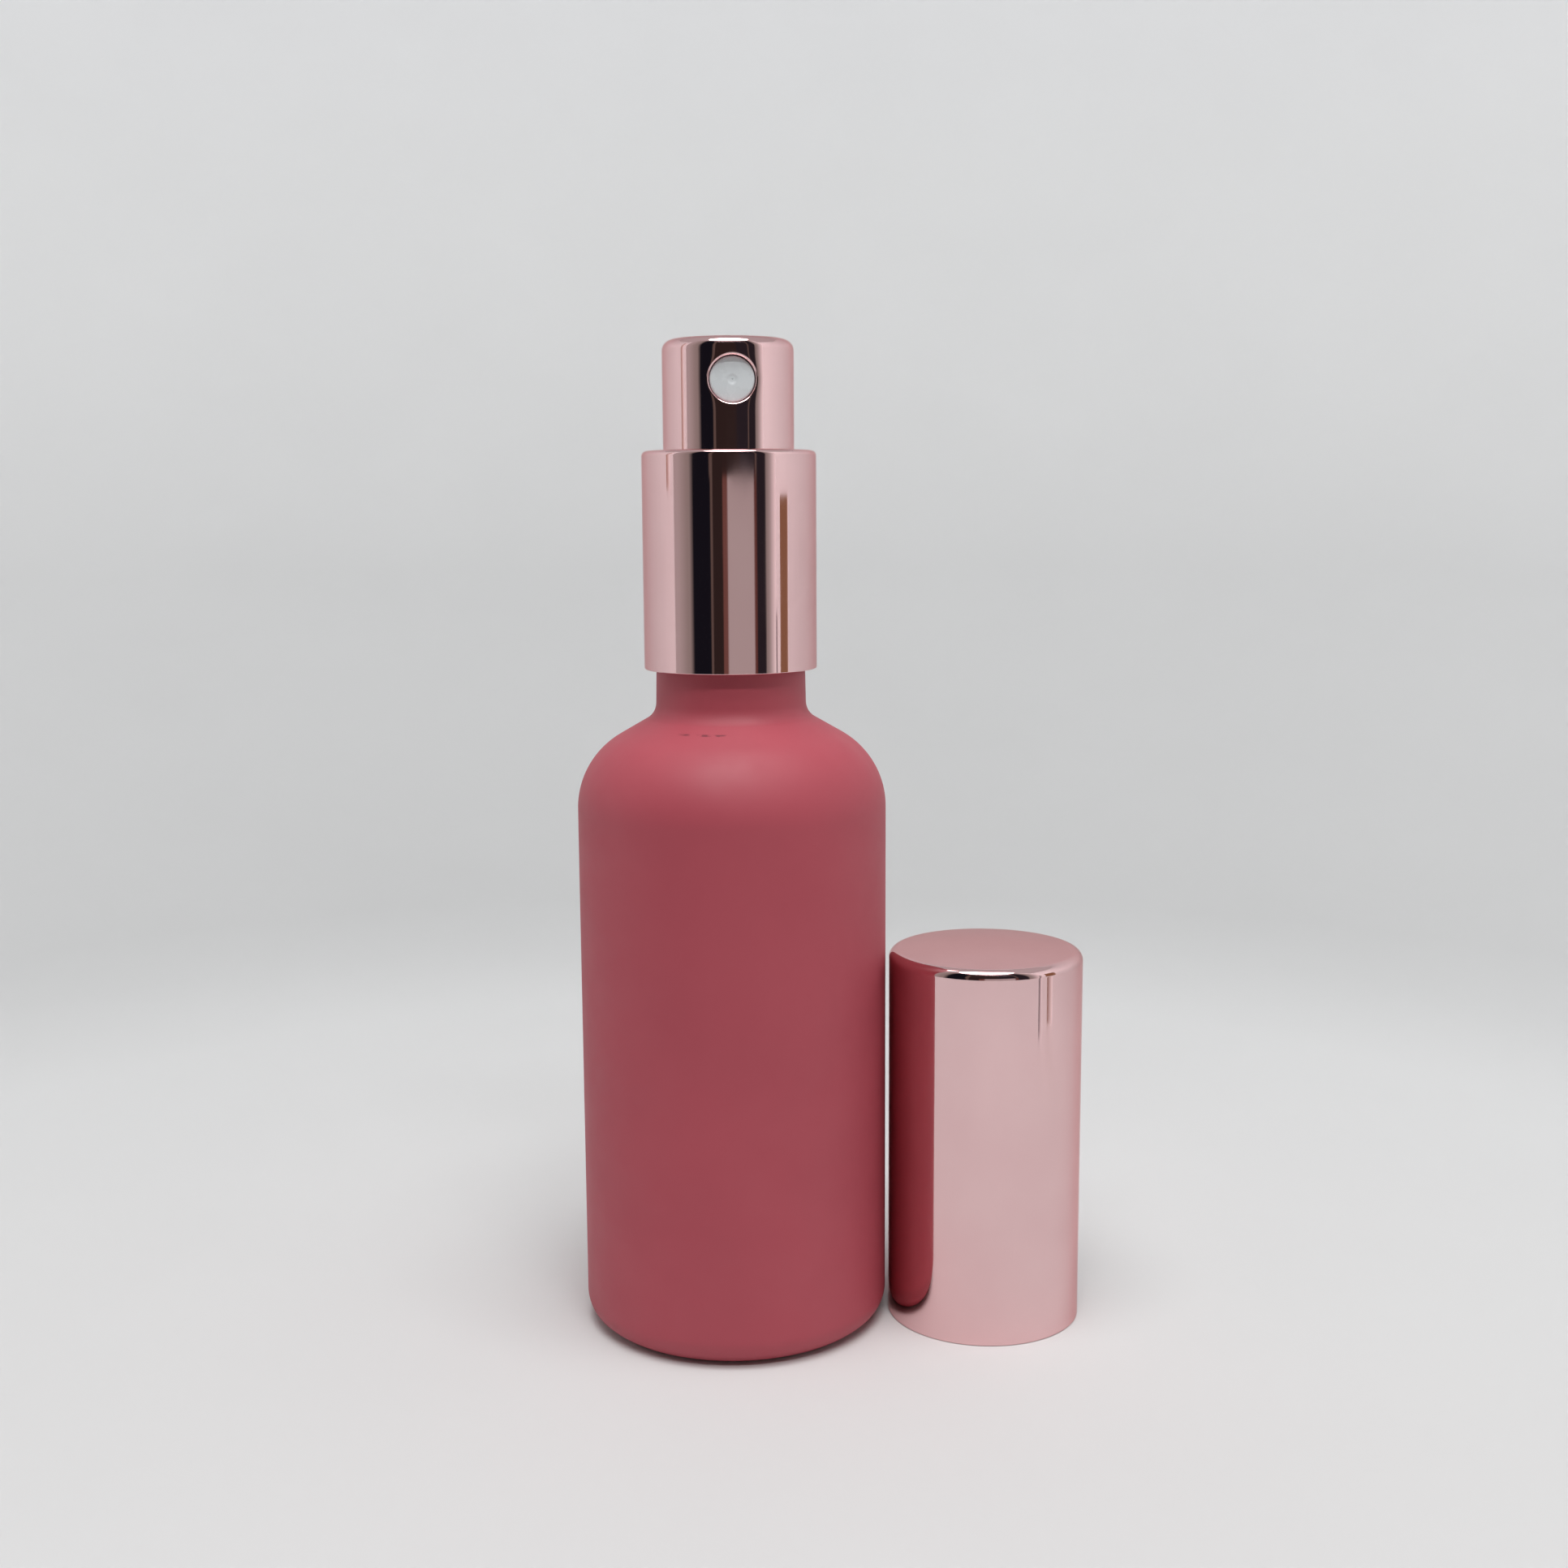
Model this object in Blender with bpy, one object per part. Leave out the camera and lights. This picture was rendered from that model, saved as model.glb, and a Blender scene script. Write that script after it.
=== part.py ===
"""Perfume atomiser: a round lacquered glass bottle, a screw-on fine-mist pump and its loose overcap.

The frame is in metres with +Z up. The origin is on the bottle's axis, on the surface that it stands on,
and the spray hole faces -Y. Sizes below are in millimetres: each mesh is built in millimetres and
scaled to metres once. The pump is drawn at rest, screwed down, with the overcap standing beside it.
"""
import math

import bmesh
import bpy
from mathutils import Matrix, Vector

MM = 0.001

# Glass bottle
BODY_R = 18.5
WALL = 2.2
HEEL_R = 3.4
RECESS_R = 11.5
RECESS_DEPTH = 0.4
RING_R = 12.3
SHOULDER_Z = 63.5
SHOULDER_ARC_R = 10.1
SHOULDER_TURN = 60.0
NECK_R = 8.95
NECK_TOP_R = 8.85
NECK_TOP_Z = 80.2
NECK_FILLET_R = 2.3
NECK_STEP = 0.3
LIP_Z = 92.5
LIP_CORNER = 0.4
BORE_R = 5.6
THROAT_R = 6.6
THROAT_RISE = 1.4
FLOOR_Z = 4.8
INNER_HEEL_R = 4.5

# Screw thread of the neck and the closure: one right-hand start
PITCH = 3.175
NECK_ROOT_R = 7.75
NECK_CREST_R = 8.72
NECK_THREAD_Z = 83.0
NECK_THREAD_TURNS = 2.0
CLOSURE_MAJOR_R = 9.0
CLOSURE_CREST_R = 8.15
CLOSURE_THREAD_TURNS = 1.5
THREAD_FOOT = 1.4
THREAD_CREST = 0.7
THREAD_EMBED = 0.35
THREAD_SINK = 0.15
THREAD_RUNOUT = 40.0
THREAD_STEPS = 32

# Closure and its metal sleeve
SLEEVE_R = 10.28
SLEEVE_WALL = 0.4
SLEEVE_BOTTOM_Z = 80.2
SLEEVE_TOP_Z = 105.7
SLEEVE_EDGE_R = 0.6
SLEEVE_RIM_R = 8.25
SLEEVE_RIM_DEPTH = 1.0
SLEEVE_RIM_WALL = 0.3
SLEEVE_FOLD = 0.2
CLOSURE_R = 9.73
CLOSURE_BOTTOM_Z = 80.9
DECK_Z = 96.7
DECK_THICK = 1.2
DECK_HOLE_R = 5.0
CLOSURE_TOP_Z = 104.4
CLOSURE_INNER_R = 8.9

# Actuator
ACTUATOR_R = 7.7
ACTUATOR_WALL = 0.35
ACTUATOR_BOTTOM_Z = 102.9
ACTUATOR_TOP_Z = 118.5
ACTUATOR_EDGE_R = 1.3
BUTTON_R = 7.1
BUTTON_BOTTOM_Z = 103.4
BUTTON_TOP_Z = 117.8
BUTTON_EDGE_R = 1.0
BUTTON_WALL = 0.8
BOSS_R = 3.0
BOSS_BOTTOM_Z = 105.2
POCKET_TOP_Z = 109.8
SPRAY_Z = 113.55
SPRAY_HOLE_R = 2.95
SPRAY_CUT = (5.0, 9.0)
STEM_FIT = 0.25
STEM_HEADROOM = 0.3
RISER_R = 0.6
DUCT_R = 0.5
DUCT_START = 0.3
CUT_OVERLAP = 0.2
SOCKET_R = 2.8
SOCKET_FLOOR = 4.2
INSERT_R = 2.6
INSERT_FACE = 6.95
INSERT_BACK = 4.5
INSERT_CORNER = 0.2
INSERT_WALL = 0.7
INSERT_WEB = 0.9
DISH_R = 1.1
DISH_DEPTH = 0.35
ORIFICE_R = 0.15
ORIFICE_BACK = 0.7

# Pump engine
GASKET_BORE_R = 4.7
GASKET_R = 7.5
GASKET_Z = (92.8, 93.8)
SEAL_BORE_R = 1.7
SEAL_Z = (92.9, 93.8)
FLANGE_R = 7.4
FLANGE_THICK = 1.0
HOUSING_Z = (62.5, 95.1)
HOUSING_R = 4.3
HOUSING_WAIST_R = 3.5
HOUSING_WAIST_Z = (71.9, 78.0)
HOUSING_WAIST_RISE = 1.0
HOUSING_BORE_R = 3.15
HOUSING_FLOOR_Z = 73.3
CAGE_MOUTH_R = 1.05
CAGE_R = 1.45
CAGE_MOUTH_DEPTH = 0.5
SEAT_TOP = 0.2
SEAT_FOOT = 1.1
INLET_R = 0.7
INLET_LENGTH = 0.5
TAIL_R = 2.2
TAIL_TOP_Z = 70.3
TUBE_R = 1.3
TUBE_BORE_R = 0.8
TUBE_FIT = 0.2
TUBE_Z = (5.8, 68.6)
TUBE_SLANT = 0.7
TURRET_Z = (95.4, 96.4)
PLUG_R = 2.9
PLUG_DEPTH = 1.3
TOWER_R = 4.4
TOWER_TOP_Z = 100.3
TOWER_BORE_R = 1.8
TOWER_CORNER = 0.4
STEM_R = 1.5
STEM_FOOT_R = 1.7
STEM_BORE_R = 0.7
STEM_CORNER = 0.3
STEM_Z = (91.0, 112.0)
STEM_COLLAR_R = 2.4
STEM_COLLAR_Z = (91.4, 92.6)
PIN_NOSE_R = 0.9
PIN_FOOT_R = 1.3
PIN_NOSE_Z = 82.2
PIN_SHANK_R = 1.1
PIN_FLANGE_R = 2.0
PIN_FLANGE_Z = (83.4, 84.4)
PIN_PLUG_R = 0.5
PIN_PLUG_Z = (90.8, 94.0)
PISTON_Z = (84.7, 87.6)
PISTON_LIP_R = 2.98
PISTON_WAIST_R = 2.53
PISTON_BORE_R = 1.3
LIP_FLARE = 0.2
BALL_R = 1.15
BALL_Z = 71.05

# Springs: mean radius, wire radius, lower and upper end, turns
RETURN_SPRING = (2.45, 0.25, 73.5, 83.2, 8)
PRECOMPRESSION_SPRING = (1.75, 0.2, 87.8, 90.8, 5)
COIL_STEPS = 12
COIL_SIDES = 5

# Overcap, standing beside the bottle
CAP_CENTRE = (30.5, -3.4)
CAP_R = 11.77
CAP_WALL = 0.4
CAP_EDGE_R = 1.2
CAP_SHOULDER_Z = 44.65
CAP_TOP_Z = 46.3
LINER_R = 11.15
LINER_BORE_R = 10.75
LINER_RIB_R = 10.45
LINER_Z = (0.6, 45.0)
LINER_ROOF = 0.8
LINER_EDGE = 0.9
LINER_INNER_EDGE = 0.5
LINER_RIBS = 8

# Facets around the axis
FINE = 40
MEDIUM_FINE = 32
MEDIUM = 24
MEDIUM_COARSE = 20
COARSE = 16
BALL_RINGS = 8
TUBE_SIDES = 12
FEW = 8
SHARP_ANGLE = 30.0


def arc(centre, radius, start, end, steps):
    """Points of an arc in the (radius, height) plane; angles in degrees from the +radius direction."""
    angles = [math.radians(start + (end - start) * i / steps) for i in range(steps + 1)]
    return [(centre[0] + radius * math.cos(a), centre[1] + radius * math.sin(a)) for a in angles]


def offset_along(point, angle, distance):
    """The point at a distance along a direction, in degrees, in the (radius, height) plane."""
    turn = math.radians(angle)
    return (point[0] + distance * math.cos(turn), point[1] + distance * math.sin(turn))


def material(name, colour, roughness, metallic=0.0, alpha=1.0):
    """A Principled material."""
    finish = bpy.data.materials.new(name)
    finish.use_nodes = True
    shader = finish.node_tree.nodes["Principled BSDF"]
    shader.inputs["Base Color"].default_value = (*colour, 1.0)
    shader.inputs["Roughness"].default_value = roughness
    shader.inputs["Metallic"].default_value = metallic
    shader.inputs["Alpha"].default_value = alpha
    finish.diffuse_color = (*colour, alpha)
    return finish


def finish_mesh(name, bm, finish, location=(0, 0, 0)):
    """Turn a millimetre bmesh into an object in metres, with its faces out and its rounds smooth."""
    bmesh.ops.recalc_face_normals(bm, faces=bm.faces)
    bmesh.ops.scale(bm, vec=(MM, MM, MM), verts=bm.verts)
    mesh = bpy.data.meshes.new(name)
    bm.to_mesh(mesh)
    bm.free()
    mesh.shade_smooth()
    mesh.set_sharp_from_angle(angle=math.radians(SHARP_ANGLE))
    obj = bpy.data.objects.new(name, mesh)
    obj.location = Vector(location) * MM
    bpy.context.scene.collection.objects.link(obj)
    if finish:
        mesh.materials.append(finish)
    return obj


def spun(outline, segments):
    """A closed outline of (radius, height) points, turned about Z."""
    bm = bmesh.new()
    ring = [bm.verts.new((r, 0, z)) for r, z in outline]
    edges = [bm.edges.new(pair) for pair in zip(ring, ring[1:])]
    if outline[0][0] > 0 or outline[-1][0] > 0:
        edges.append(bm.edges.new((ring[-1], ring[0])))
    bmesh.ops.spin(bm, geom=ring + edges, cent=(0, 0, 0), axis=(0, 0, 1), angle=math.tau,
                   steps=segments, use_merge=True)
    bmesh.ops.remove_doubles(bm, verts=bm.verts, dist=0.0005)
    return bm


def lathe(name, outline, segments, finish, location=(0, 0, 0)):
    """A turned piece."""
    return finish_mesh(name, spun(outline, segments), finish, location)


def skin(sections):
    """A closed tube through a list of equal point loops, with filled ends."""
    bm = bmesh.new()
    loops = [[bm.verts.new(point) for point in section] for section in sections]
    count = len(loops[0])
    for low, high in zip(loops, loops[1:]):
        for i in range(count):
            j = (i + 1) % count
            bm.faces.new((low[i], low[j], high[j], high[i]))
    bm.faces.new(loops[0])
    bm.faces.new(loops[-1])
    return bm


def around(angle, radius, height):
    """A point at an angle round Z, in radians."""
    return (radius * math.cos(angle), radius * math.sin(angle), height)


def guide(obj):
    """Mark a cutter or a form that only shapes other pieces."""
    obj.hide_render = True
    obj.display_type = "WIRE"
    return obj


def combine(obj, other, operation):
    """Join or cut a piece with a guide."""
    step = obj.modifiers.new(other.name, "BOOLEAN")
    step.operation = operation
    step.solver = "EXACT"
    step.object = other


def thread_guide(name, wall_r, crest_r, start_z, turns):
    """A helical ridge of trapezoid section on a wall, sinking into the wall at both ends."""
    runout = math.radians(THREAD_RUNOUT)
    inward = -1 if crest_r < wall_r else 1
    foot_r = wall_r - inward * THREAD_EMBED
    sections = []
    root = wall_r - inward * THREAD_SINK
    count = round(turns * THREAD_STEPS)
    for i in range(count + 1):
        angle = math.tau * i / THREAD_STEPS
        rise = min(1.0, angle / runout, (turns * math.tau - angle) / runout)
        crest = root + (crest_r - root) * rise
        z = start_z + PITCH * i / THREAD_STEPS
        foot, top = THREAD_FOOT / 2, THREAD_CREST / 2
        sections.append([around(angle, foot_r, z - foot), around(angle, crest, z - top),
                         around(angle, crest, z + top), around(angle, foot_r, z + foot)])
    return guide(finish_mesh(name, skin(sections), None))


def rod_guide(name, radius, start, end, segments=MEDIUM):
    """A round cutter between two points."""
    start, end = Vector(start), Vector(end)
    axis = end - start
    bm = bmesh.new()
    turn = axis.to_track_quat("Z", "Y").to_matrix().to_4x4()
    place = Matrix.Translation((start + end) / 2) @ turn
    bmesh.ops.create_cone(bm, cap_ends=True, segments=segments, radius1=radius, radius2=radius,
                          depth=axis.length, matrix=place)
    return guide(finish_mesh(name, bm, None))


def coil(name, mean_r, wire_r, low, high, turns, finish):
    """A compression spring between two heights, with one dead turn at each end."""
    dead = 2 * wire_r
    travel = (high - low) - 2 * wire_r - 2 * dead
    sections = []
    for i in range(turns * COIL_STEPS + 1):
        turn = i / COIL_STEPS
        live = min(max(turn - 1, 0), turns - 2) / (turns - 2)
        z = low + wire_r + dead * (min(turn, 1) + max(turn - (turns - 1), 0)) + travel * live
        ring = []
        for k in range(COIL_SIDES):
            a = math.tau * k / COIL_SIDES
            ring.append(around(math.tau * turn, mean_r + wire_r * math.cos(a), z + wire_r * math.sin(a)))
        sections.append(ring)
    return finish_mesh(name, skin(sections), finish)


def make_bottle(finish):
    """Blown glass bottle: label recess, round heel, shoulder, screw neck and an open hollow."""
    shoulder = arc((BODY_R - SHOULDER_ARC_R, SHOULDER_Z), SHOULDER_ARC_R, 0, SHOULDER_TURN, 7)
    slope = SHOULDER_TURN + 90
    tangent = NECK_FILLET_R * math.tan(math.radians(SHOULDER_TURN / 2))
    run = (shoulder[-1][0] - NECK_R) / -math.cos(math.radians(slope))
    corner = offset_along(shoulder[-1], slope, run)
    fillet_centre = (NECK_R + NECK_FILLET_R, corner[1] + tangent)
    neck_fillet = arc(fillet_centre, NECK_FILLET_R, 180 + SHOULDER_TURN, 180, 3)
    inner_r = BODY_R - WALL
    inner = arc((BODY_R - SHOULDER_ARC_R, SHOULDER_Z), SHOULDER_ARC_R - WALL, SHOULDER_TURN, 0, 5)
    throat = offset_along(inner[0], slope, (inner[0][0] - THROAT_R) / -math.cos(math.radians(slope)))
    outline = [(0, RECESS_DEPTH), (RECESS_R, RECESS_DEPTH), (RING_R, 0)]
    outline += arc((BODY_R - HEEL_R, HEEL_R), HEEL_R, -90, 0, 4)
    outline += shoulder
    outline += neck_fillet
    outline += [(NECK_TOP_R, NECK_TOP_Z), (NECK_TOP_R - NECK_STEP, NECK_TOP_Z + NECK_STEP)]
    outline += [(NECK_ROOT_R, NECK_TOP_Z + 2 * NECK_STEP), (NECK_ROOT_R, LIP_Z - LIP_CORNER)]
    outline += [(NECK_ROOT_R - LIP_CORNER, LIP_Z), (BORE_R + LIP_CORNER, LIP_Z)]
    outline += [(BORE_R, LIP_Z - LIP_CORNER), (BORE_R, throat[1] + THROAT_RISE), throat]
    outline += inner
    outline += arc((inner_r - INNER_HEEL_R, FLOOR_Z + INNER_HEEL_R), INNER_HEEL_R, 0, -90, 3)
    outline += [(0, FLOOR_Z)]
    bottle = lathe("glass_bottle", outline, FINE, finish)
    ridge = thread_guide("guide_neck_thread", NECK_ROOT_R, NECK_CREST_R, NECK_THREAD_Z, NECK_THREAD_TURNS)
    combine(bottle, ridge, "UNION")
    return bottle


def make_closure(finish):
    """Moulded screw closure: threaded skirt, deck with a hole for the pump, and an upper wall."""
    outline = [(CLOSURE_R, CLOSURE_BOTTOM_Z), (CLOSURE_R, CLOSURE_TOP_Z), (CLOSURE_INNER_R, CLOSURE_TOP_Z),
               (CLOSURE_INNER_R, DECK_Z + DECK_THICK), (DECK_HOLE_R, DECK_Z + DECK_THICK),
               (DECK_HOLE_R, DECK_Z), (CLOSURE_MAJOR_R, DECK_Z), (CLOSURE_MAJOR_R, CLOSURE_BOTTOM_Z)]
    closure = lathe("screw_closure", outline, FINE, finish)
    start_z = NECK_THREAD_Z + PITCH / 2
    ridge = thread_guide("guide_closure_thread", CLOSURE_MAJOR_R, CLOSURE_CREST_R, start_z,
                         CLOSURE_THREAD_TURNS)
    combine(closure, ridge, "UNION")
    return closure


def make_sleeve(finish):
    """Drawn metal sleeve with a rounded top edge and a rim turned in and down."""
    inner_r = SLEEVE_R - SLEEVE_WALL
    top = SLEEVE_TOP_Z - SLEEVE_WALL
    edge = (SLEEVE_R - SLEEVE_EDGE_R, SLEEVE_TOP_Z - SLEEVE_EDGE_R)
    curl = (SLEEVE_RIM_R + SLEEVE_WALL, SLEEVE_TOP_Z - SLEEVE_WALL)
    outline = [(SLEEVE_R, SLEEVE_BOTTOM_Z)]
    outline += arc(edge, SLEEVE_EDGE_R, 0, 90, 3)
    outline += arc(curl, SLEEVE_WALL, 90, 180, 2)
    rim_back = SLEEVE_RIM_R + SLEEVE_RIM_WALL
    rim_foot = SLEEVE_TOP_Z - SLEEVE_RIM_DEPTH
    outline += [(SLEEVE_RIM_R, rim_foot), (rim_back, rim_foot), (rim_back, top)]
    outline += [(inner_r - SLEEVE_FOLD, top), (inner_r, top - SLEEVE_FOLD), (inner_r, SLEEVE_BOTTOM_Z)]
    return lathe("collar_sleeve", outline, FINE, finish)


def make_actuator_shell(finish):
    """Drawn metal cover of the button, with the spray hole on the -Y side."""
    inner_r = ACTUATOR_R - ACTUATOR_WALL
    edge = (ACTUATOR_R - ACTUATOR_EDGE_R, ACTUATOR_TOP_Z - ACTUATOR_EDGE_R)
    outline = [(ACTUATOR_R, ACTUATOR_BOTTOM_Z)]
    outline += arc(edge, ACTUATOR_EDGE_R, 0, 90, 4)
    outline += [(0, ACTUATOR_TOP_Z), (0, ACTUATOR_TOP_Z - ACTUATOR_WALL)]
    outline += arc(edge, ACTUATOR_EDGE_R - ACTUATOR_WALL, 90, 0, 2)
    outline += [(inner_r, ACTUATOR_BOTTOM_Z)]
    shell = lathe("actuator_shell", outline, FINE, finish)
    start, end = SPRAY_CUT
    hole = rod_guide("guide_spray_hole", SPRAY_HOLE_R, (0, -start, SPRAY_Z), (0, -end, SPRAY_Z))
    combine(shell, hole, "DIFFERENCE")
    return shell


def make_button(finish):
    """Moulded button inside the shell: stem socket, spray duct and the socket of the nozzle insert."""
    skirt_r = BUTTON_R - BUTTON_WALL
    outline = [(0, BUTTON_TOP_Z), (0, BOSS_BOTTOM_Z), (BOSS_R, BOSS_BOTTOM_Z), (BOSS_R, POCKET_TOP_Z),
               (skirt_r, POCKET_TOP_Z), (skirt_r, BUTTON_BOTTOM_Z), (BUTTON_R, BUTTON_BOTTOM_Z)]
    edge = (BUTTON_R - BUTTON_EDGE_R, BUTTON_TOP_Z - BUTTON_EDGE_R)
    outline += arc(edge, BUTTON_EDGE_R, 0, 90, 2)
    button = lathe("actuator_button", outline[1:] + outline[:1], MEDIUM_FINE, finish)
    socket_top = STEM_Z[1] + STEM_HEADROOM
    socket_foot = BOSS_BOTTOM_Z - 1
    duct_end = -SOCKET_FLOOR - CUT_OVERLAP
    cuts = (
        rod_guide("guide_stem_socket", STEM_R + STEM_FIT, (0, 0, socket_foot), (0, 0, socket_top), COARSE),
        rod_guide("guide_riser", RISER_R, (0, 0, socket_top - CUT_OVERLAP), (0, 0, SPRAY_Z), FEW),
        rod_guide("guide_duct", DUCT_R, (0, DUCT_START, SPRAY_Z), (0, duct_end, SPRAY_Z), FEW),
        rod_guide("guide_insert_socket", SOCKET_R, (0, -SOCKET_FLOOR, SPRAY_Z), (0, -SPRAY_CUT[1], SPRAY_Z)),
    )
    for cut in cuts:
        combine(button, cut, "DIFFERENCE")
    return button


def make_insert(finish):
    """Nozzle insert: a small cup with a dished face, a swirl chamber and a fine orifice, facing -Y."""
    outline = [(ORIFICE_R, INSERT_FACE - DISH_DEPTH), (DISH_R, INSERT_FACE)]
    outline += [(INSERT_R - INSERT_CORNER, INSERT_FACE), (INSERT_R, INSERT_FACE - INSERT_CORNER)]
    outline += [(INSERT_R, INSERT_BACK), (INSERT_R - INSERT_WALL, INSERT_BACK)]
    outline += [(INSERT_R - INSERT_WEB, INSERT_FACE - INSERT_WEB), (ORIFICE_R, INSERT_FACE - ORIFICE_BACK)]
    bm = spun(outline, MEDIUM_COARSE)
    bmesh.ops.rotate(bm, verts=bm.verts, cent=(0, 0, 0), matrix=Matrix.Rotation(math.radians(90), 3, "X"))
    return finish_mesh("nozzle_insert", bm, finish, (0, 0, SPRAY_Z))


def make_housing(finish):
    """Pump housing: flange, cylinder, cage and seat of the inlet ball, and the dip tube's socket."""
    low, top = HOUSING_Z
    under_flange = top - FLANGE_THICK
    seat_z = BALL_Z - SEAT_FOOT
    inlet_z = seat_z - INLET_LENGTH
    socket_r = TUBE_R + TUBE_FIT
    waist_low, waist_high = HOUSING_WAIST_Z
    outline = [(FLANGE_R, under_flange), (FLANGE_R, top), (HOUSING_BORE_R, top)]
    outline += [(HOUSING_BORE_R, HOUSING_FLOOR_Z), (CAGE_MOUTH_R, HOUSING_FLOOR_Z)]
    outline += [(CAGE_R, HOUSING_FLOOR_Z - CAGE_MOUTH_DEPTH), (CAGE_R, BALL_Z - SEAT_TOP), (INLET_R, seat_z)]
    outline += [(INLET_R, inlet_z), (socket_r, inlet_z - TUBE_FIT), (socket_r, low), (TAIL_R, low)]
    outline += [(TAIL_R, TAIL_TOP_Z), (HOUSING_WAIST_R, waist_low), (HOUSING_WAIST_R, waist_high)]
    outline += [(HOUSING_R, waist_high + HOUSING_WAIST_RISE), (HOUSING_R, under_flange)]
    return lathe("pump_housing", outline, MEDIUM_COARSE, finish)


def make_turret(finish):
    """Cap of the housing: flange, plug in the cylinder and the tower that guides the stem."""
    low, high = TURRET_Z
    foot = low - PLUG_DEPTH
    outline = [(FLANGE_R, low), (FLANGE_R, high), (TOWER_R, high), (TOWER_R, TOWER_TOP_Z - TOWER_CORNER)]
    outline += [(TOWER_R - TOWER_CORNER, TOWER_TOP_Z), (TOWER_BORE_R, TOWER_TOP_Z), (TOWER_BORE_R, foot)]
    outline += [(PLUG_R, foot), (PLUG_R, low)]
    return lathe("housing_cap", outline, MEDIUM, finish)


def make_ring(name, inner_r, outer_r, low, high, segments, finish):
    """A plain flat ring."""
    outline = [(inner_r, low), (outer_r, low), (outer_r, high), (inner_r, high)]
    return lathe(name, outline, segments, finish)


def make_tube(finish):
    """Dip tube, cut at a slant at its foot."""
    low, high = TUBE_Z
    bm = spun([(TUBE_BORE_R, low), (TUBE_R, low), (TUBE_R, high), (TUBE_BORE_R, high)], TUBE_SIDES)
    for vert in bm.verts:
        if vert.co.z < low + 1:
            vert.co.z += TUBE_SLANT * (1 + vert.co.x / TUBE_R)
    return finish_mesh("dip_tube", bm, finish)


def make_stem(finish):
    """Hollow stem that carries the button, with the collar that stops it under the seal."""
    low, high = STEM_Z
    collar_low, collar_high = STEM_COLLAR_Z
    outline = [(STEM_BORE_R, low), (STEM_FOOT_R, low), (STEM_FOOT_R, collar_low)]
    outline += [(STEM_COLLAR_R, collar_low), (STEM_COLLAR_R, collar_high), (STEM_R, collar_high)]
    outline += [(STEM_R, high - STEM_CORNER)]
    outline += [(STEM_R - STEM_CORNER, high), (STEM_BORE_R, high)]
    return lathe("pump_stem", outline, COARSE, finish)


def make_pin(finish):
    """Valve pin under the stem: its shank guides the piston and its flange closes the piston."""
    flange_low, flange_high = PIN_FLANGE_Z
    plug_low, plug_high = PIN_PLUG_Z
    nose_top = PIN_NOSE_Z + PIN_FOOT_R - PIN_NOSE_R
    outline = [(0, PIN_NOSE_Z), (PIN_NOSE_R, PIN_NOSE_Z), (PIN_FOOT_R, nose_top), (PIN_FOOT_R, flange_low)]
    outline += [(PIN_FLANGE_R, flange_low), (PIN_FLANGE_R, flange_high), (PIN_SHANK_R, flange_high)]
    outline += [(PIN_SHANK_R, plug_low), (PIN_PLUG_R, plug_low), (PIN_PLUG_R, plug_high), (0, plug_high)]
    return lathe("valve_pin", outline, COARSE, finish)


def make_piston(finish):
    """Piston with two sealing lips on the cylinder's wall."""
    low, high = PISTON_Z
    outline = [(PISTON_BORE_R, low), (PISTON_WAIST_R - LIP_FLARE, low), (PISTON_LIP_R, low - LIP_FLARE)]
    outline += [(PISTON_LIP_R, low + LIP_FLARE), (PISTON_WAIST_R, low + 4 * LIP_FLARE)]
    outline += [(PISTON_WAIST_R, high - 3 * LIP_FLARE), (PISTON_LIP_R, high)]
    outline += [(PISTON_LIP_R, high + 1.5 * LIP_FLARE), (PISTON_WAIST_R, high), (PISTON_BORE_R, high)]
    return lathe("pump_piston", outline, MEDIUM_COARSE, finish)


def make_ball(finish):
    """Inlet valve ball, with its origin at its centre."""
    bm = bmesh.new()
    bmesh.ops.create_uvsphere(bm, u_segments=TUBE_SIDES, v_segments=BALL_RINGS, radius=BALL_R)
    return finish_mesh("inlet_ball", bm, finish, (0, 0, BALL_Z))


def cap_outline(outer_r, edge_r, shoulder_z, top_z):
    """The upper outline of a cap: a rounded edge, then a shallow crown up to the axis."""
    points = arc((outer_r - edge_r, shoulder_z), edge_r, 0, 90, 3)
    crown_r, crown_z = points[-1]
    for share in (0.6, 0.25, 0.0):
        points.append((crown_r * share, top_z - (top_z - crown_z) * share ** 2))
    return points


def make_overcap(shell_finish, liner_finish):
    """Drawn metal overcap and the ribbed liner that grips the sleeve; both origins on the cap's axis."""
    place = (*CAP_CENTRE, 0)
    inner_r = CAP_R - CAP_WALL
    outline = [(CAP_R, 0)] + cap_outline(CAP_R, CAP_EDGE_R, CAP_SHOULDER_Z, CAP_TOP_Z)
    outline += cap_outline(inner_r, CAP_EDGE_R - CAP_WALL, CAP_SHOULDER_Z, CAP_TOP_Z - CAP_WALL)[::-1]
    outline += [(inner_r, 0)]
    shell = lathe("overcap_shell", outline, FINE, shell_finish, place)

    low, high = LINER_Z
    roof = high - LINER_ROOF
    outline = [(LINER_R, low), (LINER_R, high - LINER_EDGE), (LINER_R - LINER_EDGE, high), (0, high)]
    outline += [(0, roof), (LINER_BORE_R - LINER_INNER_EDGE, roof), (LINER_BORE_R, roof - LINER_INNER_EDGE)]
    outline += [(LINER_BORE_R, low)]
    bm = spun(outline, FINE)
    for vert in bm.verts:
        radius = math.hypot(vert.co.x, vert.co.y)
        facet = round(math.atan2(vert.co.y, vert.co.x) / math.tau * FINE)
        if abs(radius - LINER_BORE_R) < 0.01 and facet % (FINE // LINER_RIBS) == 0:
            vert.co.xy *= LINER_RIB_R / LINER_BORE_R
    return shell, finish_mesh("overcap_liner", bm, liner_finish, place)


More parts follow.
